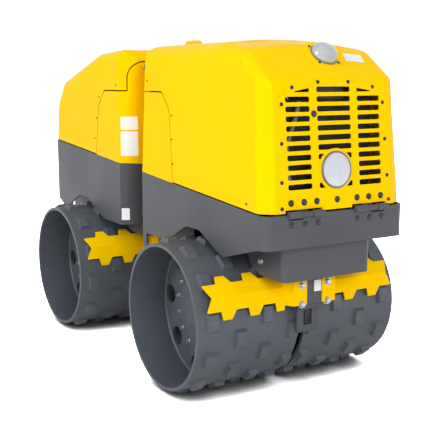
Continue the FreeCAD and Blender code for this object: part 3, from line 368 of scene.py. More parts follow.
@dataclass(frozen=True)
class DrumPaint(Paint):
    """Painted drum steel with a cast skin, rubbed where lugs meet the ground."""

    mottle_scale: float = 7.0
    axle: Point = (0.0, 0.0, 0.0)
    tip: float = 0.0
    rubbed: Flat = (0.004, 0.0005)  # how far inside the tips the rubbing starts and is full, in metres
    bare: Colour = srgb(132, 136, 142)
    worn: float = 0.12

    def lay(self, on: Surface) -> None:
        """Lay the mottled paint, lighter rubbed lug tips and the cast skin.

        Args:
            on: The material's surface.
        """
        tone = self.tone(on, self.tint, self.mottle_scale, self.mottle)
        axes = on.axes(shift=tuple(-c for c in self.axle))
        radius = on.math("SQRT", on.plus(*(on.math("POWER", axes[key], 2.0) for key in ("X", "Z"))))
        tips = on.span(radius, *(self.tip - inside for inside in self.rubbed))
        rub = on.effect(Effect.SCUFF, Scale=60.0, Cover=0.55)["Mask"]
        share = on.times(on.times(tips, rub), self.worn)
        skin = on.effect(Effect.CAST, Scale=260.0)
        on.show(Base_Color=on.mix(share, tone["Color"], self.bare),
                Roughness=self.dull(on, skin["Mask"], low=-0.05, high=0.08))
        on.bump(skin["Height"], strength=0.22, distance=0.0012)


@dataclass(frozen=True)
class Metal(Finish):
    """Bare or plated metal with brushed lines and a faint stain."""

    lines: float = 0.05
    tint: Colour = (0.1, 0.1, 0.1, 1.0)
    stain_scale: float = 40.0
    stain_share: float = 0.18

    def lay(self, on: Surface) -> None:
        """Lay the lines and the stain.

        Args:
            on: The material's surface.
        """
        brush = on.effect(Effect.BRUSH, Scale=700.0)
        on.show(Base_Color=self.tone(on, self.tint, self.stain_scale, self.stain_share)["Color"],
                Roughness=self.dull(on, brush["Mask"], low=-0.04, high=0.08))
        on.bump(brush["Height"], self.lines, distance=0.0003)


@dataclass(frozen=True)
class Skin(Finish):
    """Rubber, plastic or vinyl: a faint stain, a fine grain and, where it has one, a clear coat."""

    stain: Colour = (0.1, 0.1, 0.1, 1.0)
    stain_scale: float = 25.0
    stain_share: float = 0.4
    grain: float = 0.2
    grain_scale: float = 1500.0
    grain_depth: float = 0.0004
    coat: float = 0.0

    def lay(self, on: Surface) -> None:
        """Lay the stain, the coat and the grain.

        Args:
            on: The material's surface.
        """
        tone = self.tone(on, self.stain, self.stain_scale, self.stain_share)
        on.show(Base_Color=tone["Color"], Coat_Weight=self.coat, Coat_Roughness=0.04)
        on.bump(on.effect(Effect.PEEL, Scale=self.grain_scale)["Height"], self.grain, self.grain_depth)


DRUM_LOW, DRUM_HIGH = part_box("engine_drum_left")
DRUM_PAINTS = {
    half: DrumPaint(f"{half}_drum_paint", "drum_grey", srgb(81, 86, 93), 0.46, tint=srgb(64, 69, 77),
                    mottle=0.3, axle=middle(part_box(f"{half}_axle")), tip=(DRUM_HIGH.x - DRUM_LOW.x) / 2)
    for half, _ in HALVES
}
HOOD = Paint("hood_gelcoat", "hood_yellow", srgb(255, 206, 0), 0.3, tint=srgb(252, 199, 0), mottle=0.35,
             gloss=0.03, wave=0.05, wave_scale=420.0)
STEEL_YELLOW = Paint("yellow_steel_paint", "scraper_yellow", srgb(255, 204, 0), 0.36, tint=srgb(250, 192, 0),
                     mottle=0.35, gloss=0.03, wave=0.1, wave_scale=700.0)
FRAME = Paint("frame_grey_paint", "frame_grey", srgb(78, 79, 85), 0.42, tint=srgb(71, 72, 79), mottle=0.35,
              wave=0.14)
RUNNING = Paint("running_gear_paint", "running_steel", srgb(80, 84, 91), 0.45, tint=srgb(66, 70, 77),
                mottle=0.3, wave=0.16, wave_scale=700.0, dust=0.05)
IRON = Paint("engine_iron_paint", "engine_iron", srgb(58, 60, 64), 0.6, tint=srgb(36, 37, 40), mottle=0.5,
             wave=0.3, wave_scale=350.0)
TANK_PLASTIC = Paint("tank_plastic", "tank_black", srgb(48, 49, 52), 0.55, tint=srgb(36, 36, 38), mottle=0.3,
                     wave=0.2, wave_scale=500.0)
BAY_PLATE = Paint("bay_plate_paint", "engine_iron", srgb(74, 76, 80), tint=srgb(52, 53, 56), mottle=0.4)
# painted shade: a near-black ring that stands for the shadow in the gap round each hub flange
HUB_GAP_SHADE = Paint("hub_gap_painted_shade", "drum_grey", srgb(34, 35, 38), 0.6, mottle=0.2)
# painted shade: near-black blocks that stand for the dark inside of the slots under the hinge covers
SHADOW = Paint("painted_slot_shade", "frame_grey", srgb(12, 12, 13), 0.8, mottle=0.2)
FINS = Metal("radiator_fins", "radiator_black", srgb(26, 27, 29), 0.65, 0.1)
ZINC = Metal("zinc_plate", "badge_silver", srgb(188, 190, 194), 0.3, 0.9)
BLACK_BOLT = Metal("blackened_bolt", "running_steel", srgb(26, 24, 23), 0.2, 0.0)
BAY_PIPE = Metal("bay_pipe_metal", "engine_iron", srgb(128, 130, 134), 0.4, 0.5)
BADGE_SILVER = Metal("badge_silver_face", "badge_silver", srgb(205, 206, 214), 0.34, 0.35, lines=0.03,
                     tint=srgb(170, 172, 182))
BADGE_RING = Metal("badge_grey_ring", "badge_silver", srgb(120, 121, 128), 0.35, 0.5)
LENS_RIM = Metal("lens_seat_ring", "lens_smoke", srgb(120, 120, 124), 0.4, 0.3)
RUBBER = Skin("mount_rubber", "rubber_black", srgb(30, 30, 31), 0.75, stain=srgb(60, 60, 62))
LENS = Skin("smoked_lens", "lens_smoke", srgb(172, 174, 178), 0.16, stain=srgb(128, 132, 140),
            stain_scale=22.0, stain_share=0.35, grain=0.05, grain_scale=160.0, grain_depth=0.0006, coat=0.8)
LABEL = Skin("blank_label", "badge_silver", srgb(236, 236, 238), 0.4, stain=srgb(222, 220, 214),
             stain_scale=60.0, stain_share=0.2, grain=0.05, grain_scale=600.0, grain_depth=0.0002)


# ------------------------------------------------------------------ mesh building
class Head(Enum):
    """Forms of a fastener's head."""

    HEX = "hexagon"
    DOME = "dome"
    SOCKET = "dome with a socket"


class Fastener(Enum):
    """Kinds of fasteners: form, width and height of the head and width of the washer, in millimetres."""

    FRONT_HEX = (Head.HEX, 17.0, 8.0, 26.0)
    SMALL_HEX = (Head.HEX, 13.0, 6.0, 20.0)
    BUTTON = (Head.SOCKET, 13.0, 4.5, 0.0)
    SCREW = (Head.SOCKET, 8.0, 2.6, 0.0)
    LENS_SCREW = (Head.SOCKET, 9.0, 4.0, 0.0)
    CARRIAGE = (Head.DOME, 17.0, 7.0, 21.0)
    PLATE = (Head.DOME, 15.0, 6.0, 19.0)


SUNK = 1.0      # how far the feet of small parts lie in the surface that they stand on
WASHER_T = 2.6
WASHER_LIP = 0.8


def turned(outline: Sequence[Flat], steps: int) -> Mesh:
    """Turn an outline about the Z axis.

    Args:
        outline: Radius and height of each point, in millimetres.
        steps: Number of steps round the turn.

    Returns:
        A mesh with closed poles and outward faces.
    """
    bm = bmesh.new()
    verts = [bm.verts.new(mm(r, 0.0, z)) for r, z in outline]
    edges = [bm.edges.new(pair) for pair in zip(verts, verts[1:])]
    bmesh.ops.spin(bm, geom=verts + edges, cent=(0, 0, 0), axis=(0, 0, 1), angle=math.tau, steps=steps,
                   use_merge=True)
    bmesh.ops.remove_doubles(bm, verts=bm.verts, dist=1e-6)
    bmesh.ops.recalc_face_normals(bm, faces=bm.faces)
    return bm


def dome(radius: float, foot: float, rise: float, *angles: float) -> list[Flat]:
    """Outline of a dome: radius and height at each angle, in millimetres."""
    return [(radius * math.cos(a), foot + rise * math.sin(a)) for a in angles]


def ease(bm: Mesh, edges: Iterable[bmesh.types.BMEdge], width: float, steps: int = 2,
         clamp: bool = False) -> None:
    """Round edges by a width in millimetres."""
    bmesh.ops.bevel(bm, geom=list(edges), offset=width * MM, affect="EDGES", segments=steps, profile=0.5,
                    material=-1, clamp_overlap=clamp)


def cuboid(low: Sequence[float], high: Sequence[float], soft: float = 0.0) -> Mesh:
    """Make a cuboid.

    Args:
        low: Its lowest corner in millimetres.
        high: Its highest corner.
        soft: Width of the rounding of its edges.

    Returns:
        Its mesh.
    """
    bm = bmesh.new()
    bmesh.ops.create_cube(bm, size=1.0)
    bmesh.ops.scale(bm, vec=mm(*high) - mm(*low), verts=bm.verts)
    bmesh.ops.translate(bm, vec=(mm(*high) + mm(*low)) / 2, verts=bm.verts)
    if soft:
        ease(bm, bm.edges, soft)
    return bm


def sheet_plate(width: float, height: float, thick: float, corner: float) -> Mesh:
    """Make a thin plate that lies on the XY plane.

    Args:
        width: Its size along X in millimetres.
        height: Its size along Y.
        thick: Its thickness.
        corner: Radius of its corners.

    Returns:
        Its mesh.
    """
    bm = cuboid((-width / 2, -height / 2, 0.0), (width / 2, height / 2, thick))
    posts = [e for e in bm.edges if abs(e.verts[0].co.z - e.verts[1].co.z) > thick * MM / 2]
    ease(bm, posts, corner, steps=3)
    return bm


def add_mesh(bm: Mesh, other: Mesh, where: Matrix = Matrix.Identity(4)) -> None:
    """Add one mesh to another.

    Args:
        bm: The mesh that grows.
        other: The mesh that is added; it is left as it is.
        where: Place of the added mesh.
    """
    passing = bpy.data.meshes.new("passing")
    other.to_mesh(passing)
    count = len(bm.verts)
    bm.from_mesh(passing)
    bpy.data.meshes.remove(passing)
    bm.verts.ensure_lookup_table()
    bmesh.ops.transform(bm, matrix=where, verts=bm.verts[count:])


def fastener(kind: Fastener) -> Mesh:
    """Make one fastener that stands on the XY plane, its head along +Z.

    Args:
        kind: Which kind.

    Returns:
        Its mesh.
    """
    head, across, height, washer = kind.value
    r = across / 2
    if head is Head.HEX:
        low, rim_width, corner_r = WASHER_T - 0.1, 1.4, across / math.sqrt(3) * MM
        bm = bmesh.new()
        bmesh.ops.create_cone(bm, cap_ends=True, segments=6, radius1=corner_r, radius2=corner_r,
                              depth=(height + SUNK) * MM,
                              matrix=Matrix.Translation(mm(0, 0, low + (height - SUNK) / 2)))
        top = max(v.co.z for v in bm.verts)
        ease(bm, [e for e in bm.edges if min(v.co.z for v in e.verts) > top - 1e-6], rim_width)
    else:
        points = [(r, -SUNK)] + dome(r, 0.0, height, 0.0, 0.35, 0.7, 1.05)
        if head is Head.SOCKET:
            mouth, floor = r * 0.42, height * 0.45
            points += [(mouth, height * 0.97), (mouth * 0.95, floor), (0.0, floor)]
        else:
            points += dome(r, 0.0, height, 1.3) + [(0.0, height)]
        bm = turned(points, steps=12 if kind is Fastener.SCREW else 16)
    if washer:
        r = washer / 2
        rim = [(r, -SUNK), (r, WASHER_T - WASHER_LIP), (r - WASHER_LIP, WASHER_T)]
        add_mesh(bm, turned([(0.0, -SUNK), *rim, (0.0, WASHER_T)], steps=20))
    return bm


def bead_ring(radius: float, size: float, way: float) -> Mesh:
    """Make a bead in the corner between a plate and a ring.

    Args:
        radius: Radius of the corner in millimetres.
        size: Leg of the bead.
        way: 1 outside the ring, -1 inside it.

    Returns:
        A closed ring with a rounded face.
    """
    root = 0.5
    inner = radius - way * root
    face = [(radius + way * size * out, size * up) for out, up in ((0.45, 0.62), (0.8, 0.3))]
    outline = [(inner, -root), (inner, size), *face, (radius + way * size, -root), (inner, -root)]
    return turned(outline, steps=96)


def hose(points: Sequence[Point], radius: float, steps: int = 6) -> Mesh:
    """Make a round hose through points, all in millimetres.

    Args:
        points: Points of its middle line, at least two.
        radius: Its radius.
        steps: Stretches between two points.

    Returns:
        A closed mesh.
    """
    ends = [Vector(point) for point in (points[0], *points, points[-1])]
    line = []
    for a, b, c, d in zip(ends, ends[1:], ends[2:], ends[3:]):
        for t in (step / steps for step in range(steps)):
            line.append((b * 2 + (c - a) * t + (a * 2 - b * 5 + c * 4 - d) * t ** 2
                         + (b * 3 - a - c * 3 + d) * t ** 3) / 2)
    line.append(ends[-1])
    bm = bmesh.new()
    place = facing(line[0] * MM, line[1] - line[0])
    ring = bmesh.ops.create_circle(bm, cap_ends=True, segments=16, radius=radius * MM, matrix=place)["verts"]
    for index in range(1, len(line)):
        new = facing(line[index] * MM, line[min(index + 1, len(line) - 1)] - line[index - 1])
        edges = list({e for v in ring for e in v.link_edges if e.other_vert(v) in ring})
        made = bmesh.ops.extrude_edge_only(bm, edges=edges)["geom"]
        ring = [item for item in made if isinstance(item, bmesh.types.BMVert)]
        bmesh.ops.transform(bm, matrix=new @ place.inverted(), verts=ring)
        place = new
    bmesh.ops.contextual_create(bm, geom=[e for e in bm.edges if e.is_boundary])
    bmesh.ops.recalc_face_normals(bm, faces=bm.faces)
    return bm


def standing(at: Sequence[float], x: Sequence[float], y: Sequence[float], z: Sequence[float]) -> Matrix:
    """Matrix that carries the three axes to three directions at a point."""
    return Matrix.Translation(at) @ Matrix((x, y, z)).transposed().to_4x4()


def facing(at: Vector, axis: Sequence[float], roll: float = 0.0) -> Matrix:
    """Matrix that carries the Z axis to a direction at a point."""
    turn = Vector(axis).to_track_quat("Z", "Y").to_matrix().to_4x4()
    return Matrix.Translation(at) @ turn @ Matrix.Rotation(roll, 4, "Z")


def upright(at: Vector, out: Sequence[float]) -> Matrix:
    """Matrix that carries the Z axis to a level direction at a point and the Y axis straight up."""
    up, out = Vector((0, 0, 1)), Vector(out).normalized()
    return standing(at, up.cross(out), up, out)


@dataclass
class Piece:
    """One named piece under construction."""

    name: str
    body: str
    finish: Finish
    bm: Mesh = field(default_factory=bmesh.new)

    def stamp(self, shape: Mesh, places: Iterable[Matrix] = (Matrix.Identity(4),)) -> "Piece":
        """Add a copy of a shape at each place.

        Args:
            shape: The shape.
            places: Its places; without them, it goes in as it stands.

        Returns:
            The piece.
        """
        for place in places:
            add_mesh(self.bm, shape, place)
        return self

    def bolts(self, kind: Fastener, spots: Iterable[Sequence[float]], axis: Sequence[float]) -> "Piece":
        """Add fasteners at points in millimetres, all along one axis and each turned a little further."""
        roll = 0.4
        return self.stamp(fastener(kind), [facing(mm(*spot), axis, roll * i) for i, spot in enumerate(spots)])

    def done(self, stands_for: Sequence[str] = (), smooth: float = 35.0) -> bpy.types.Object:
        """Turn the piece into a shown object that rides on its body.

        Args:
            stands_for: CAD nodes that it replaces.
            smooth: Largest angle in degrees that is shaded smooth.

        Returns:
            The object.
        """
        limit = math.radians(smooth)
        for face in self.bm.faces:
            face.smooth = True
        for edge in self.bm.edges:
            edge.smooth = len(edge.link_faces) == 2 and edge.calc_face_angle(0.0) < limit
        mesh = bpy.data.meshes.new(self.name)
        self.bm.to_mesh(mesh)
        self.bm.free()
        made = place_object(self.name, mesh)
        mesh.materials.append(self.finish.material())
        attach(made, self.body)
        if stands_for:
            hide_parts(*stands_for)
        LOG.info("%s: %d faces on %s", self.name, len(mesh.polygons), self.body)
        return made


def place_object(name: str, data: bpy.types.ID) -> bpy.types.Object:
    """Put an object in the scene.

    Args:
        name: Its name.
        data: Its mesh, lamp or camera.

    Returns:
        The object.
    """
    made = bpy.data.objects.new(name, data)
    bpy.context.scene.collection.objects.link(made)
    return made


def dress(node: str, finish: Finish) -> None:
    """Give a CAD node a finish.

    Args:
        node: The node.
        finish: The finish.
    """
    materials = frame["nodes"][node].data.materials
    materials.clear()
    materials.append(finish.material())


def end_x(node: str, sign: float) -> float:
    """Highest X of a CAD node for sign 1, its lowest for -1, in millimetres."""
    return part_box(node)[sign > 0].x / MM


def body_of(node: str) -> str:
    """Body that a CAD node rides on."""
    return next(body for body, nodes in frame["record"]["behaviour"]["bodies"].items() if node in nodes)


@dataclass(frozen=True)
class Crown:
    """Moulded form of the engine hood: a crowned roof and sides that lean in, in millimetres."""

    drop: float = 20.0
    edge_y: float = 262.0
    drop_z: Flat = (1080.0, 1195.0)
    lean: float = 22.0
    lean_z: Flat = (700.0, 1200.0)
    lean_y: Flat = (216.0, 262.0)
    pad: Point = (796.0, 0.0, 1148.0)
    pad_shift: float = 29.0
    pad_reach: Flat = (82.0, 200.0)
    pad_z: Flat = (1070.0, 1095.0)
    cuts_y: tuple[float, ...] = (65.0, 130.0, 190.0, 216.0, 240.0, 262.0)
    cuts_z: tuple[float, ...] = (700.0, 1080.0, 1120.0, 1160.0)

    @staticmethod
    def share(value: float, low: float, high: float) -> float:
        """How far a value is between two others, 0 to 1."""
        return min(max((value - low) / (high - low), 0.0), 1.0)

    def at(self, spot: Vector) -> Vector:
        """Carry a point of the plain hood to the moulded one.

        Args:
            spot: The point, in metres.

        Returns:
            Its new place, in metres.
        """
        x, y, z = spot / MM
        near = 1.0 - self.share((Vector((x, y, z)) - Vector(self.pad)).length, *self.pad_reach)
        y += self.pad_shift * near * self.share(z, *self.pad_z)
        wide = min(abs(y) / self.edge_y, 1.0)
        lean = self.lean * self.share(z, *self.lean_z) * self.share(abs(y), *self.lean_y)
        return mm(x, y - math.copysign(lean, y), z - self.drop * wide ** 2 * self.share(z, *self.drop_z))

    def bend(self, bm: Mesh) -> None:
        """Cut the plain hood where its form turns, and move its points.

        Args:
            bm: The hood's mesh.
        """
        planes = [((0, s * y, 0), (0, 1, 0)) for y in self.cuts_y for s in (-1, 1)]
        planes += [((0, 0, z), (0, 0, 1)) for z in self.cuts_z]
        for spot, normal in planes:
            bmesh.ops.bisect_plane(bm, geom=bm.verts[:] + bm.edges[:] + bm.faces[:], dist=1e-6,
                                   plane_co=mm(*spot), plane_no=normal)
        for vert in bm.verts:
            vert.co = self.at(vert.co)


def soften(node: str, finish: Finish, width: float, crown: Crown | None = None) -> None:
    """Replace a CAD node by a copy whose sharp edges are slightly rounded.

    Args:
        node: The CAD node.
        finish: Finish of the copy.
        width: Width of the rounding in millimetres.
        crown: Moulded form that the copy takes, or none.
    """
    same_point, no_edge = 2e-5, 1e-5
    flat, sharp, smooth = math.radians(0.6), math.radians(28.0), 40.0
    bm = bmesh.new()
    bm.from_mesh(frame["nodes"][node].data)
    bmesh.ops.remove_doubles(bm, verts=bm.verts, dist=same_point)
    bmesh.ops.dissolve_degenerate(bm, edges=bm.edges, dist=no_edge)
    if crown:
        crown.bend(bm)
    bmesh.ops.dissolve_limit(bm, angle_limit=flat, verts=bm.verts, edges=bm.edges)
    rims = [e for e in bm.edges if len(e.link_faces) == 2 and e.calc_face_angle(0.0) > sharp]
    ease(bm, rims, width, clamp=True)
    made = Piece("soft_" + node, body_of(node), finish, bm).done([node], smooth)
    made.modifiers.new("even_shading", "WEIGHTED_NORMAL").keep_sharp = True


# ------------------------------------------------------------------ sub-assemblies
@dataclass(frozen=True)
class Lamp:
    """A soft square lamp: its place, its side in metres, its watts and the point that it looks at."""

    name: str
    at: Point
    size: float
    power: float
    aim: Point = (0.0, 0.0, 0.6)
    mirrored: bool = True

    def build(self) -> None:
        """Add the lamp."""
        data = bpy.data.lights.new(self.name, "AREA")
        data.shape, data.size, data.energy = "SQUARE", self.size, self.power
        made = place_object(self.name, data)
        made.visible_glossy = self.mirrored
        made.location = self.at
        made.rotation_mode = "QUATERNION"
        made.rotation_quaternion = (Vector(self.aim) - Vector(self.at)).to_track_quat("-Z", "Y")


@dataclass
class Studio:
    """Camera, floor, world and lamps."""

    eye: Point = (3.0146, -1.7164, 1.0759)
    right: Point = (0.51835204, 0.85516608, -0.001463)
    up: Point = (-0.13804053, 0.08536026, 0.98674132)
    back: Point = (0.84395259, -0.51127743, 0.16229425)
    lens: float = 70.53
    sensor: float = 36.0
    world_level: float = 0.42
    floor_half: float = 30.0
    floor_tone: float = 0.9
    floor_gain: float = 4.6
    # reach, range and darkest tone of the painted contact shadow on the floor
    contact: float = 0.09
    contact_share: Flat = (0.12, 0.95)
    contact_tone: float = 0.16
    fade: Flat = (1.3, 2.4)
    lamps: tuple[Lamp, ...] = (
        Lamp("key", (0.7, -6.3, 3.6), 3.2, 212.0),
        Lamp("front", (6.0, -2.0, 2.8), 2.4, 190.0, (0.6, 0.0, 0.5), mirrored=False),
        Lamp("top", (0.6, -1.2, 7.4), 4.2, 34.0),
        Lamp("back", (-1.4, 6.4, 3.2), 3.2, 130.0, mirrored=False),
    )

    def camera(self) -> None:
        """Place the camera."""
        data = bpy.data.cameras.new("camera")
        data.lens, data.sensor_width = self.lens, self.sensor
        made = place_object("camera", data)
        made.matrix_world = standing(self.eye, self.right, self.up, self.back)
        bpy.context.scene.camera = made

    @staticmethod
    def shown(tree: Tree, path: Node) -> Socket:
        """Whether a ray shows the backdrop: seen straight on, in a gloss or through glass."""
        seen = tree.math("MAXIMUM", path.outputs["Is Camera Ray"], path.outputs["Is Transmission Ray"])
        return tree.math("MAXIMUM", seen, path.outputs["Is Glossy Ray"])

    def world(self) -> None:
        """White to the camera and in reflections, a plain level on the object."""
        world = bpy.data.worlds.new("studio_world")
        bpy.context.scene.world = world
        world.use_nodes = True
        tree = Tree(world.node_tree)
        share = tree.times(self.shown(tree, tree.add("ShaderNodeLightPath")), 1.0 - self.world_level)
        level = tree.plus(share, self.world_level)
        tree.set(world.node_tree.nodes["Background"], Color=WHITE, Strength=level)

    def floor(self) -> None:
        """Pale floor that keeps the shadow and is white away from it."""
        bm = bmesh.new()
        bmesh.ops.create_grid(bm, x_segments=2, y_segments=2, size=self.floor_half)
        mesh = bpy.data.meshes.new("floor")
        bm.to_mesh(mesh)
        bm.free()
        made = place_object("floor", mesh)
        mesh.materials.append(bpy.data.materials.new("floor_white"))
        self.paint_floor(Surface(mesh.materials[0]))

    def paint_floor(self, on: Surface) -> None:
        """Give the floor its tone, with a painted contact shadow that darkens it under what stands close to
        it, and its glow further out.

        Args:
            on: The surface of the floor's material.
        """
        path = on.add("ShaderNodeLightPath")
        # painted shadow: ambient occlusion darkens the floor's colour for the camera where parts stand close
        # to it
        near = on.add("ShaderNodeAmbientOcclusion", samples=12, Distance=self.contact).outputs["AO"]
        lit = on.span(near, *self.contact_share, self.contact_tone, self.floor_gain)
        more = on.times(path.outputs["Is Camera Ray"], on.math("SUBTRACT", lit, self.floor_tone))
        tone = on.plus(more, self.floor_tone)
        grey = on.add("ShaderNodeCombineColor", Red=tone, Green=tone, Blue=tone).outputs[0]
        away = on.add("ShaderNodeVectorMath", on.place(), operation="LENGTH").outputs["Value"]
        glow = on.times(self.shown(on, path), on.span(away, *self.fade))
        on.show(Base_Color=grey, Roughness=0.9, Specular_IOR_Level=0.0, Emission_Color=WHITE,
                Emission_Strength=glow)

    def build(self) -> None:
        """Set the stage."""
        self.camera()
        self.world()
        self.floor()
        for lamp in self.lamps:
            lamp.build()
        bpy.context.scene.view_settings.view_transform = "Standard"


@dataclass
class Shells:
    """Hoods, covers, frames and running gear, with slightly rounded edges."""

    on_halves: tuple[tuple[str, Finish, float], ...] = (
        ("hood", HOOD, 1.2), ("inner_cover", HOOD, 1.2), ("frame", FRAME, 1.8), ("aprons", FRAME, 2.2),
        ("carrier", FRAME, 2.0), ("tie_down", FRAME, 2.0), ("scrapers", STEEL_YELLOW, 1.0),
        ("hinge_blocks", FRAME, 1.0),
    )
    single: tuple[tuple[str, Finish, float], ...] = (
        ("grille_panel", HOOD, 0.9), ("lifting_mast", STEEL_YELLOW, 1.5), ("yoke", RUNNING, 1.5),
        ("trunnion_bearing", RUNNING, 1.5),
    )
    plain: tuple[tuple[str, Finish], ...] = (
        ("centre_link", RUNNING), ("tank_block", TANK_PLASTIC), ("engine_block", IRON), ("radiator", FINS),
        ("tank_latches", ZINC),
    )
    crowned: tuple[str, ...] = ("engine_hood", "engine_inner_cover")
    drum_edge: float = 2.6
    axle_edge: float = 1.5

    def build(self) -> None:
        """Round and dress both halves and what is between them."""
        for half, drum in DRUM_PAINTS.items():
            for part, finish, width in self.on_halves:
                node = f"{half}_{part}"
                soften(node, finish, width, Crown() if node in self.crowned else None)
            for side in ("left", "right"):
                soften(f"{half}_drum_{side}", drum, self.drum_edge)
            soften(f"{half}_axle", drum, self.axle_edge)
            dress(f"{half}_rubber_mounts", RUBBER)
            dress(f"{half}_hinge_leaves", RUNNING)
        for node, finish, width in self.single:
            soften(node, finish, width)
        for node, finish in self.plain:
            dress(node, finish)


@dataclass
class GrilleEnd:
    """Fasteners, badge and lens on the engine half's hood."""

    face_x: float = 911.6
    face_z: float = 700.0
    lean: float = 0.0892
    side_rows: tuple[Flat, ...] = ((201, 997), (206, 879), (211, 761), (214, 682))
    top_rows: tuple[Flat, ...] = ((160, 1047), (60, 1063))
    hinge_row: tuple[float, ...] = (-180, -130, -81, 0, 81, 130, 180)
    hinge_z: float = 697.0
    big_bolt: Flat = (-80, 966)
    badge_ring: tuple[Flat, ...] = ((0.0, 4.0), (1.5, 6.6), (4.5, 7.0), (6.0, 5.2))  # in from its rim, height
    badge_in: float = 5.6
    badge_foot: float = 5.0
    badge_rise: float = 2.0
    badge_sunk: float = 2.0
    badge_steps: int = 72
    brow_normal: Point = (0.668, 0.0, 0.744)
    pad_height: float = 4.6
    lens_r: float = 45.0
    lens_height: float = 34.0
    lens_foot: float = 4.0
    lens_down: float = -3.0
    lens_steps: int = 64
    seat: tuple[Flat, ...] = ((-3.0, -1.0), (2.6, -1.0), (2.6, 2.2), (1.8, 3.2), (0.6, 3.2), (-0.6, 2.0))
    screw_step: float = 38.0
    label_spot: Flat = (2.0, 134.0)
    label_size: tuple[float, float, float, float] = (72.0, 38.0, 1.2, 2.0)  # width, height, thickness, corner
    label_turn: float = -7.0

    def on_face(self, y: float, z: float) -> Point:
        """Point on the leaning grille face."""
        return (self.face_x - self.lean * (z - self.face_z), y, z)

    def axis(self) -> Point:
        """Direction that the face looks in."""
        return (1.0, 0.0, self.lean)

    def brow(self) -> tuple[Vector, Vector]:
        """Directions out of the brow's slope and down along it."""
        out = Vector(self.brow_normal).normalized()
        return out, Vector((out.z, 0.0, -out.x))

    def on_brow(self, down: float, y: float) -> Vector:
        """Point in metres at the lens pad's level, so many millimetres down the brow from the lens."""
        x, _, z = middle(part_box("receiver_lens"))
        return Crown().at(Vector((x, y * MM, z)) + self.brow()[1] * down * MM)

    def fasteners(self) -> None:
        """Dark bolts round and below the grille."""
        round_face = [self.on_face(s * y, z) for y, z in self.side_rows + self.top_rows for s in (-1, 1)]
        row = [self.on_face(y, self.hinge_z) for y in self.hinge_row]
        for name, kind, spots in (("grille_bolts", Fastener.BUTTON, round_face),
                                  ("hinge_strap_bolts", Fastener.CARRIAGE, row),
                                  ("grille_latch_bolt", Fastener.CARRIAGE, [self.on_face(*self.big_bolt)])):
            Piece(name, "engine_lid", BLACK_BOLT).bolts(kind, spots, self.axis()).done()

    def badge(self) -> None:
        """Blank round badge: a domed silver face in a grey ring."""
        low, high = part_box("badge_disc")
        radius = (high.y - low.y) / 2 / MM
        place = facing(mm(*self.on_face(0.0, (low.z + high.z) / 2 / MM)), self.axis())
        ring = [(0.0, 0.0), (radius, 0.0)] + [(radius - inset, z) for inset, z in self.badge_ring]
        shape = turned(ring, self.badge_steps)
        Piece("badge_ring", "engine_lid", BADGE_RING).stamp(shape, [place]).done(["badge_disc"])
        inner, top = radius - self.badge_in, self.badge_foot + self.badge_rise
        face = [(inner, self.badge_foot - self.badge_sunk)]
        face += dome(inner, self.badge_foot, self.badge_rise, 0.0, 0.35, 0.7, 1.05, 1.35) + [(0.0, top)]
        shape = turned(face, self.badge_steps)
        Piece("badge_face", "engine_lid", BADGE_SILVER).stamp(shape, [place]).done()

    def lens(self) -> None:
        """Smoked receiver dome, its seat ring and its screws on the brow."""
        out, _ = self.brow()
        place = [facing(self.on_brow(self.lens_down, 0.0), out)]
        r, foot = self.lens_r, self.lens_foot
        shape = dome(r, foot, self.lens_height - foot, 0.2, 0.4, 0.6, 0.8, 1.0, 1.2, 1.4)
        shape = turned([(r, -SUNK), (r, foot)] + shape + [(0.0, self.lens_height)], self.lens_steps)
        Piece("lens_dome", "engine_lid", LENS).stamp(shape, place).done(["receiver_lens"])
        ring = turned([(r + wide, z) for wide, z in self.seat], self.lens_steps)
        Piece("lens_seat", "engine_lid", LENS_RIM).stamp(ring, place).done()
        steps = (-self.screw_step, self.screw_step)
        spots = [self.on_brow(self.lens_down + down, across) / MM for down in steps for across in steps]
        Piece("lens_screws", "engine_lid", BLACK_BOLT).bolts(Fastener.LENS_SCREW, spots, out).done()

    def brow_label(self) -> None:
        """Blank label beside the lens."""
        out, down = self.brow()
        spot = self.on_brow(*self.label_spot) - out * self.pad_height * MM
        turn = Matrix.Rotation(math.radians(self.label_turn), 4, "Z")
        place = standing(spot, (0, 1, 0), -down, out) @ turn
        Piece("brow_label", "engine_lid", LABEL).stamp(sheet_plate(*self.label_size), [place]).done()

    def build(self) -> None:
        """Build all of the grille end."""
        self.fasteners()
        self.badge()
        self.lens()
        self.brow_label()


@dataclass
class EngineBay:
    """What shows behind the grille: a pale pipe, a plate over the radiator and a few clips."""

    pipe: tuple[Point, ...] = ((852, -112, 1004), (855, -128, 950), (857, -158, 872), (859, -160, 800),
                               (857, -138, 742))
    pipe_r: float = 8.5
    plate: tuple[Point, Point] = ((846.0, -66.0, 1010.0), (850.0, 66.0, 1052.0))
    clips: tuple[Point, ...] = ((846.0, -150.0, 992.0), (846.0, -100.0, 962.0), (846.0, 120.0, 986.0))
    clip: tuple[Point, Point] = ((-2.0, -12.0, -5.0), (8.0, 12.0, 5.0))

    def build(self) -> None:
        """Build the pieces, all on the engine half."""
        Piece("bay_pipe", "engine_half", BAY_PIPE).stamp(hose(self.pipe, self.pipe_r)).done(smooth=60.0)
        Piece("bay_plate", "engine_half", BAY_PLATE).stamp(cuboid(*self.plate, soft=1.0)).done()
        clips = Piece("bay_clips", "engine_half", BAY_PIPE)
        for spot in self.clips:
            low, high = [Vector(spot) + Vector(corner) for corner in self.clip]
            clips.stamp(cuboid(low, high, soft=1.5))
        clips.done()


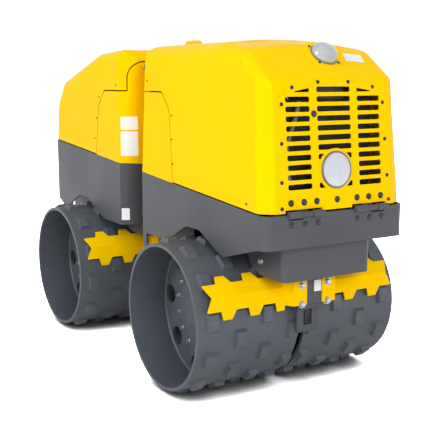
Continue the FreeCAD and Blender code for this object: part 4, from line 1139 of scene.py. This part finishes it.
@dataclass
class HingeCovers:
    """Hinge barrels at both ends, the bolts of their plates and painted shade, as black blocks, in the slot
    under each of their outer halves.
    """

    inner_y: float = 64.0
    outer_y: float = 198.0
    barrel_half: float = 21.4
    barrel_r: float = 8.6
    barrel_edge: float = 1.0
    barrel_off: float = 9.0
    bolt_row: tuple[float, ...] = (79, 130, 181)
    bolt_drop: float = 22.0
    slot_in: Flat = (6.0, 8.0)      # from the cover's middle and from its outer end
    slot_drop: Flat = (7.5, 3.0)
    slot_x: tuple[tuple[str, Flat], ...] = (("engine", (-0.5, 0.35)), ("tank", (-0.8, 0.05)))

    def barrel(self) -> Mesh:
        """Make one barrel, along Z.

        Returns:
            Its mesh.
        """
        half, r, edge = self.barrel_half, self.barrel_r, self.barrel_edge
        rim = [(r - edge, -half), (r, edge - half), (r, half - edge), (r - edge, half)]
        return turned([(0, -half), *rim, (0, half)], steps=28)

    def one_end(self, half: str, sign: float) -> None:
        """Dress the hinges of one half.

        Args:
            half: Which half.
            sign: 1 where its end looks along X, -1 where it looks the other way.
        """
        low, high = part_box(f"{half}_hinge_blocks")
        face, foot = end_x(f"{half}_hinge_blocks", -sign), low.z / MM
        centre_y, centre_z = (self.inner_y + self.outer_y) / 2, (low.z + high.z) / 2 / MM
        axis_x = face + sign * self.barrel_off
        at = [facing(mm(axis_x, side * centre_y, centre_z), (0, 1, 0)) for side in (-1, 1)]
        Piece(f"{half}_hinge_barrels", f"{half}_lid", FRAME).stamp(self.barrel(), at).done()
        spots = [(face, side * y, foot - self.bolt_drop) for y in self.bolt_row for side in (-1, 1)]
        bolts = Piece(f"{half}_plate_bolts", f"{half}_half", BLACK_BOLT)
        bolts.bolts(Fastener.PLATE, spots, (sign, 0, 0)).done()
        # painted shade: black blocks stand for the dark inside of each slot under the hinge covers
        slot_shades = Piece(f"{half}_hinge_slot_shades", f"{half}_half", SHADOW)
        back, front = (face + x for x in dict(self.slot_x)[half])
        bottom, top = (foot - drop for drop in self.slot_drop)
        for side in (-1, 1):
            ends = sorted((side * (centre_y + self.slot_in[0]), side * (self.outer_y - self.slot_in[1])))
            slot_shades.stamp(cuboid((back, ends[0], bottom), (front, ends[1], top)))
        slot_shades.done()

    def build(self) -> None:
        """Dress both ends."""
        for half, sign in HALVES:
            self.one_end(half, sign)


@dataclass
class HoodSides:
    """Small screws along the hood seams, on both sides."""

    skin_y: float = 283.8
    engine: tuple[Flat, ...] = ((319, 945), (328, 861), (339, 774), (821, 692), (120, 1065))
    tank: tuple[Flat, ...] = ((-124, 1048), (-290, 999), (-318, 912), (-341, 827))

    def build(self) -> None:
        """Set the screws."""
        for half, spots in (("engine", self.engine), ("tank", self.tank)):
            for side, word in SIDES:
                places = [mm(x, side * self.skin_y, z) for x, z in spots]
                if half == "engine":
                    places = [Crown().at(place) for place in places]
                screws = Piece(f"{half}_hood_screws_{word}", f"{half}_lid", BLACK_BOLT)
                screws.bolts(Fastener.SCREW, [place / MM for place in places], (0, side, 0)).done()


@dataclass
class Labels:
    """Blank labels: plain plates with nothing on them."""

    bend: Flat = (-100.0, 284.0)
    run: Flat = (36.0, 72.0)
    on_corner: tuple[tuple[str, Flat, Flat], ...] = (
        ("high", (6, 74), (874, 925)), ("low", (6, 74), (770, 867)), ("foot", (4, 36), (512, 560)))
    thick: float = 0.5
    corner: float = 2.5
    carrier_plate: tuple[float, float, float, float] = (30.0, 38.0, 0.5, 2.0)
    carrier_spot: Flat = (16.0, 392.0)

    def corner_label(self, name: str, side: float, along: Flat, rise: Flat) -> None:
        """Set a label on the tank half's slanted corner next to the joint.

        Args:
            name: Name of the piece.
            side: 1 left, -1 right.
            along: Start and end along the slant, from its outer bend.
            rise: Bottom and top.
        """
        length = math.hypot(*self.run)
        run_x, run_y = (part / length for part in self.run)
        mid = sum(along) / 2
        centre = mm(self.bend[0] + run_x * mid, side * (self.bend[1] - run_y * mid), sum(rise) / 2)
        plate = sheet_plate(along[1] - along[0], rise[1] - rise[0], self.thick, self.corner)
        Piece(name, "tank_half", LABEL).stamp(plate, [upright(centre, (run_y, side * run_x, 0.0))]).done()

    def build(self) -> None:
        """Set all labels."""
        for side, word in SIDES:
            for place, along, rise in self.on_corner:
                self.corner_label(f"tank_label_{place}_{word}", side, along, rise)
        plate = sheet_plate(*self.carrier_plate)
        across, up = self.carrier_spot
        for half, sign in HALVES:
            place = upright(mm(end_x(f"{half}_carrier", sign), sign * across, up), (sign, 0, 0))
            Piece(f"{half}_carrier_label", f"{half}_half", LABEL).stamp(plate, [place]).done()


@dataclass
class DrumDetails:
    """Hub bolts, flange bolts, weld beads and dark rings of painted shade in the gap round each hub flange,
    on the four drums.
    """

    web_y: float = 262.0
    bolts: tuple[int, float, float] = (15, 145.0, 169.8)    # how many, on what radius, the first one's angle
    cap_bolts: tuple[int, float, float] = (6, 56.0, 18.0)
    hub_t: float = 12.0
    shell_in: float = 242.0
    weld: float = 5.5
    # seam is the leg of the dark ring of painted shade round each hub flange
    hub_r: float = 113.0
    seam: float = 3.4
    smooth: float = 70.0

    @staticmethod
    def ring(axle: Vector, y: float, plan: tuple[int, float, float]) -> list[Point]:
        """Points round an axle, in millimetres.

        Args:
            axle: Middle of the axle.
            y: Their place along it.
            plan: How many, on what radius, and the first one's angle in degrees.

        Returns:
            The points.
        """
        count, radius, first = plan
        angles = [math.radians(first + 360.0 * i / count) for i in range(count)]
        return [(axle.x + radius * math.cos(a), y, axle.z + radius * math.sin(a)) for a in angles]

    def build(self) -> None:
        """Dress both pairs."""
        # the hub seam ring is painted shade: a dark bead that stands for the shadow in the gap round the hub
        # flange
        weld, seam = bead_ring(self.shell_in, self.weld, -1.0), bead_ring(self.hub_r, self.seam, 1.0)
        for half, paint in DRUM_PAINTS.items():
            axle = Vector(paint.axle) / MM
            hexes, caps, welds, seams = (
                Piece(f"{half}_{name}", f"{half}_drums", finish)
                for name, finish in (("hub_bolts", ZINC), ("flange_bolts", RUNNING), ("drum_welds", paint),
                                     ("hub_gap_shades", HUB_GAP_SHADE)))
            for side, _ in SIDES:
                out, web, hub = (0, side, 0), side * self.web_y, side * (self.web_y + self.hub_t)
                hexes.bolts(Fastener.SMALL_HEX, self.ring(axle, web, self.bolts), out)
                caps.bolts(Fastener.SMALL_HEX, self.ring(axle, hub, self.cap_bolts), out)
                place = facing(mm(axle.x, web, axle.z), out)
                welds.stamp(weld, [place])
                seams.stamp(seam, [place])
            hexes.done()
            caps.done()
            welds.done(smooth=self.smooth)
            seams.done(smooth=self.smooth)


@dataclass
class CarrierDetails:
    """Bolts on scraper tabs and aprons."""

    tab_y: float = 53.0
    tab_z: Flat = (402.0, 337.0)
    apron_bolt: Point = (745.0, 177.0, 487.0)

    def build(self) -> None:
        """Dress both halves."""
        x, y, z = self.apron_bolt
        for half, sign in HALVES:
            face = end_x(f"{half}_scrapers", sign)
            spots = [(face, side * self.tab_y, up) for side, _ in SIDES for up in self.tab_z]
            tabs = Piece(f"{half}_tab_bolts", f"{half}_half", ZINC)
            tabs.bolts(Fastener.FRONT_HEX, spots, (sign, 0, 0)).done()
            for side, word in SIDES:
                bolt = Piece(f"{half}_apron_bolt_{word}", f"{half}_half", ZINC)
                bolt.bolts(Fastener.FRONT_HEX, [(sign * x, side * y, z)], (0, side, 0)).done()


def main() -> None:
    """Build every sub-assembly."""
    logging.basicConfig(level=logging.INFO, format="%(message)s")
    for assembly in (Studio(), Shells(), GrilleEnd(), EngineBay(), HingeCovers(), HoodSides(), Labels(),
                     DrumDetails(), CarrierDetails()):
        assembly.build()


if __name__ == "__main__":
    main()
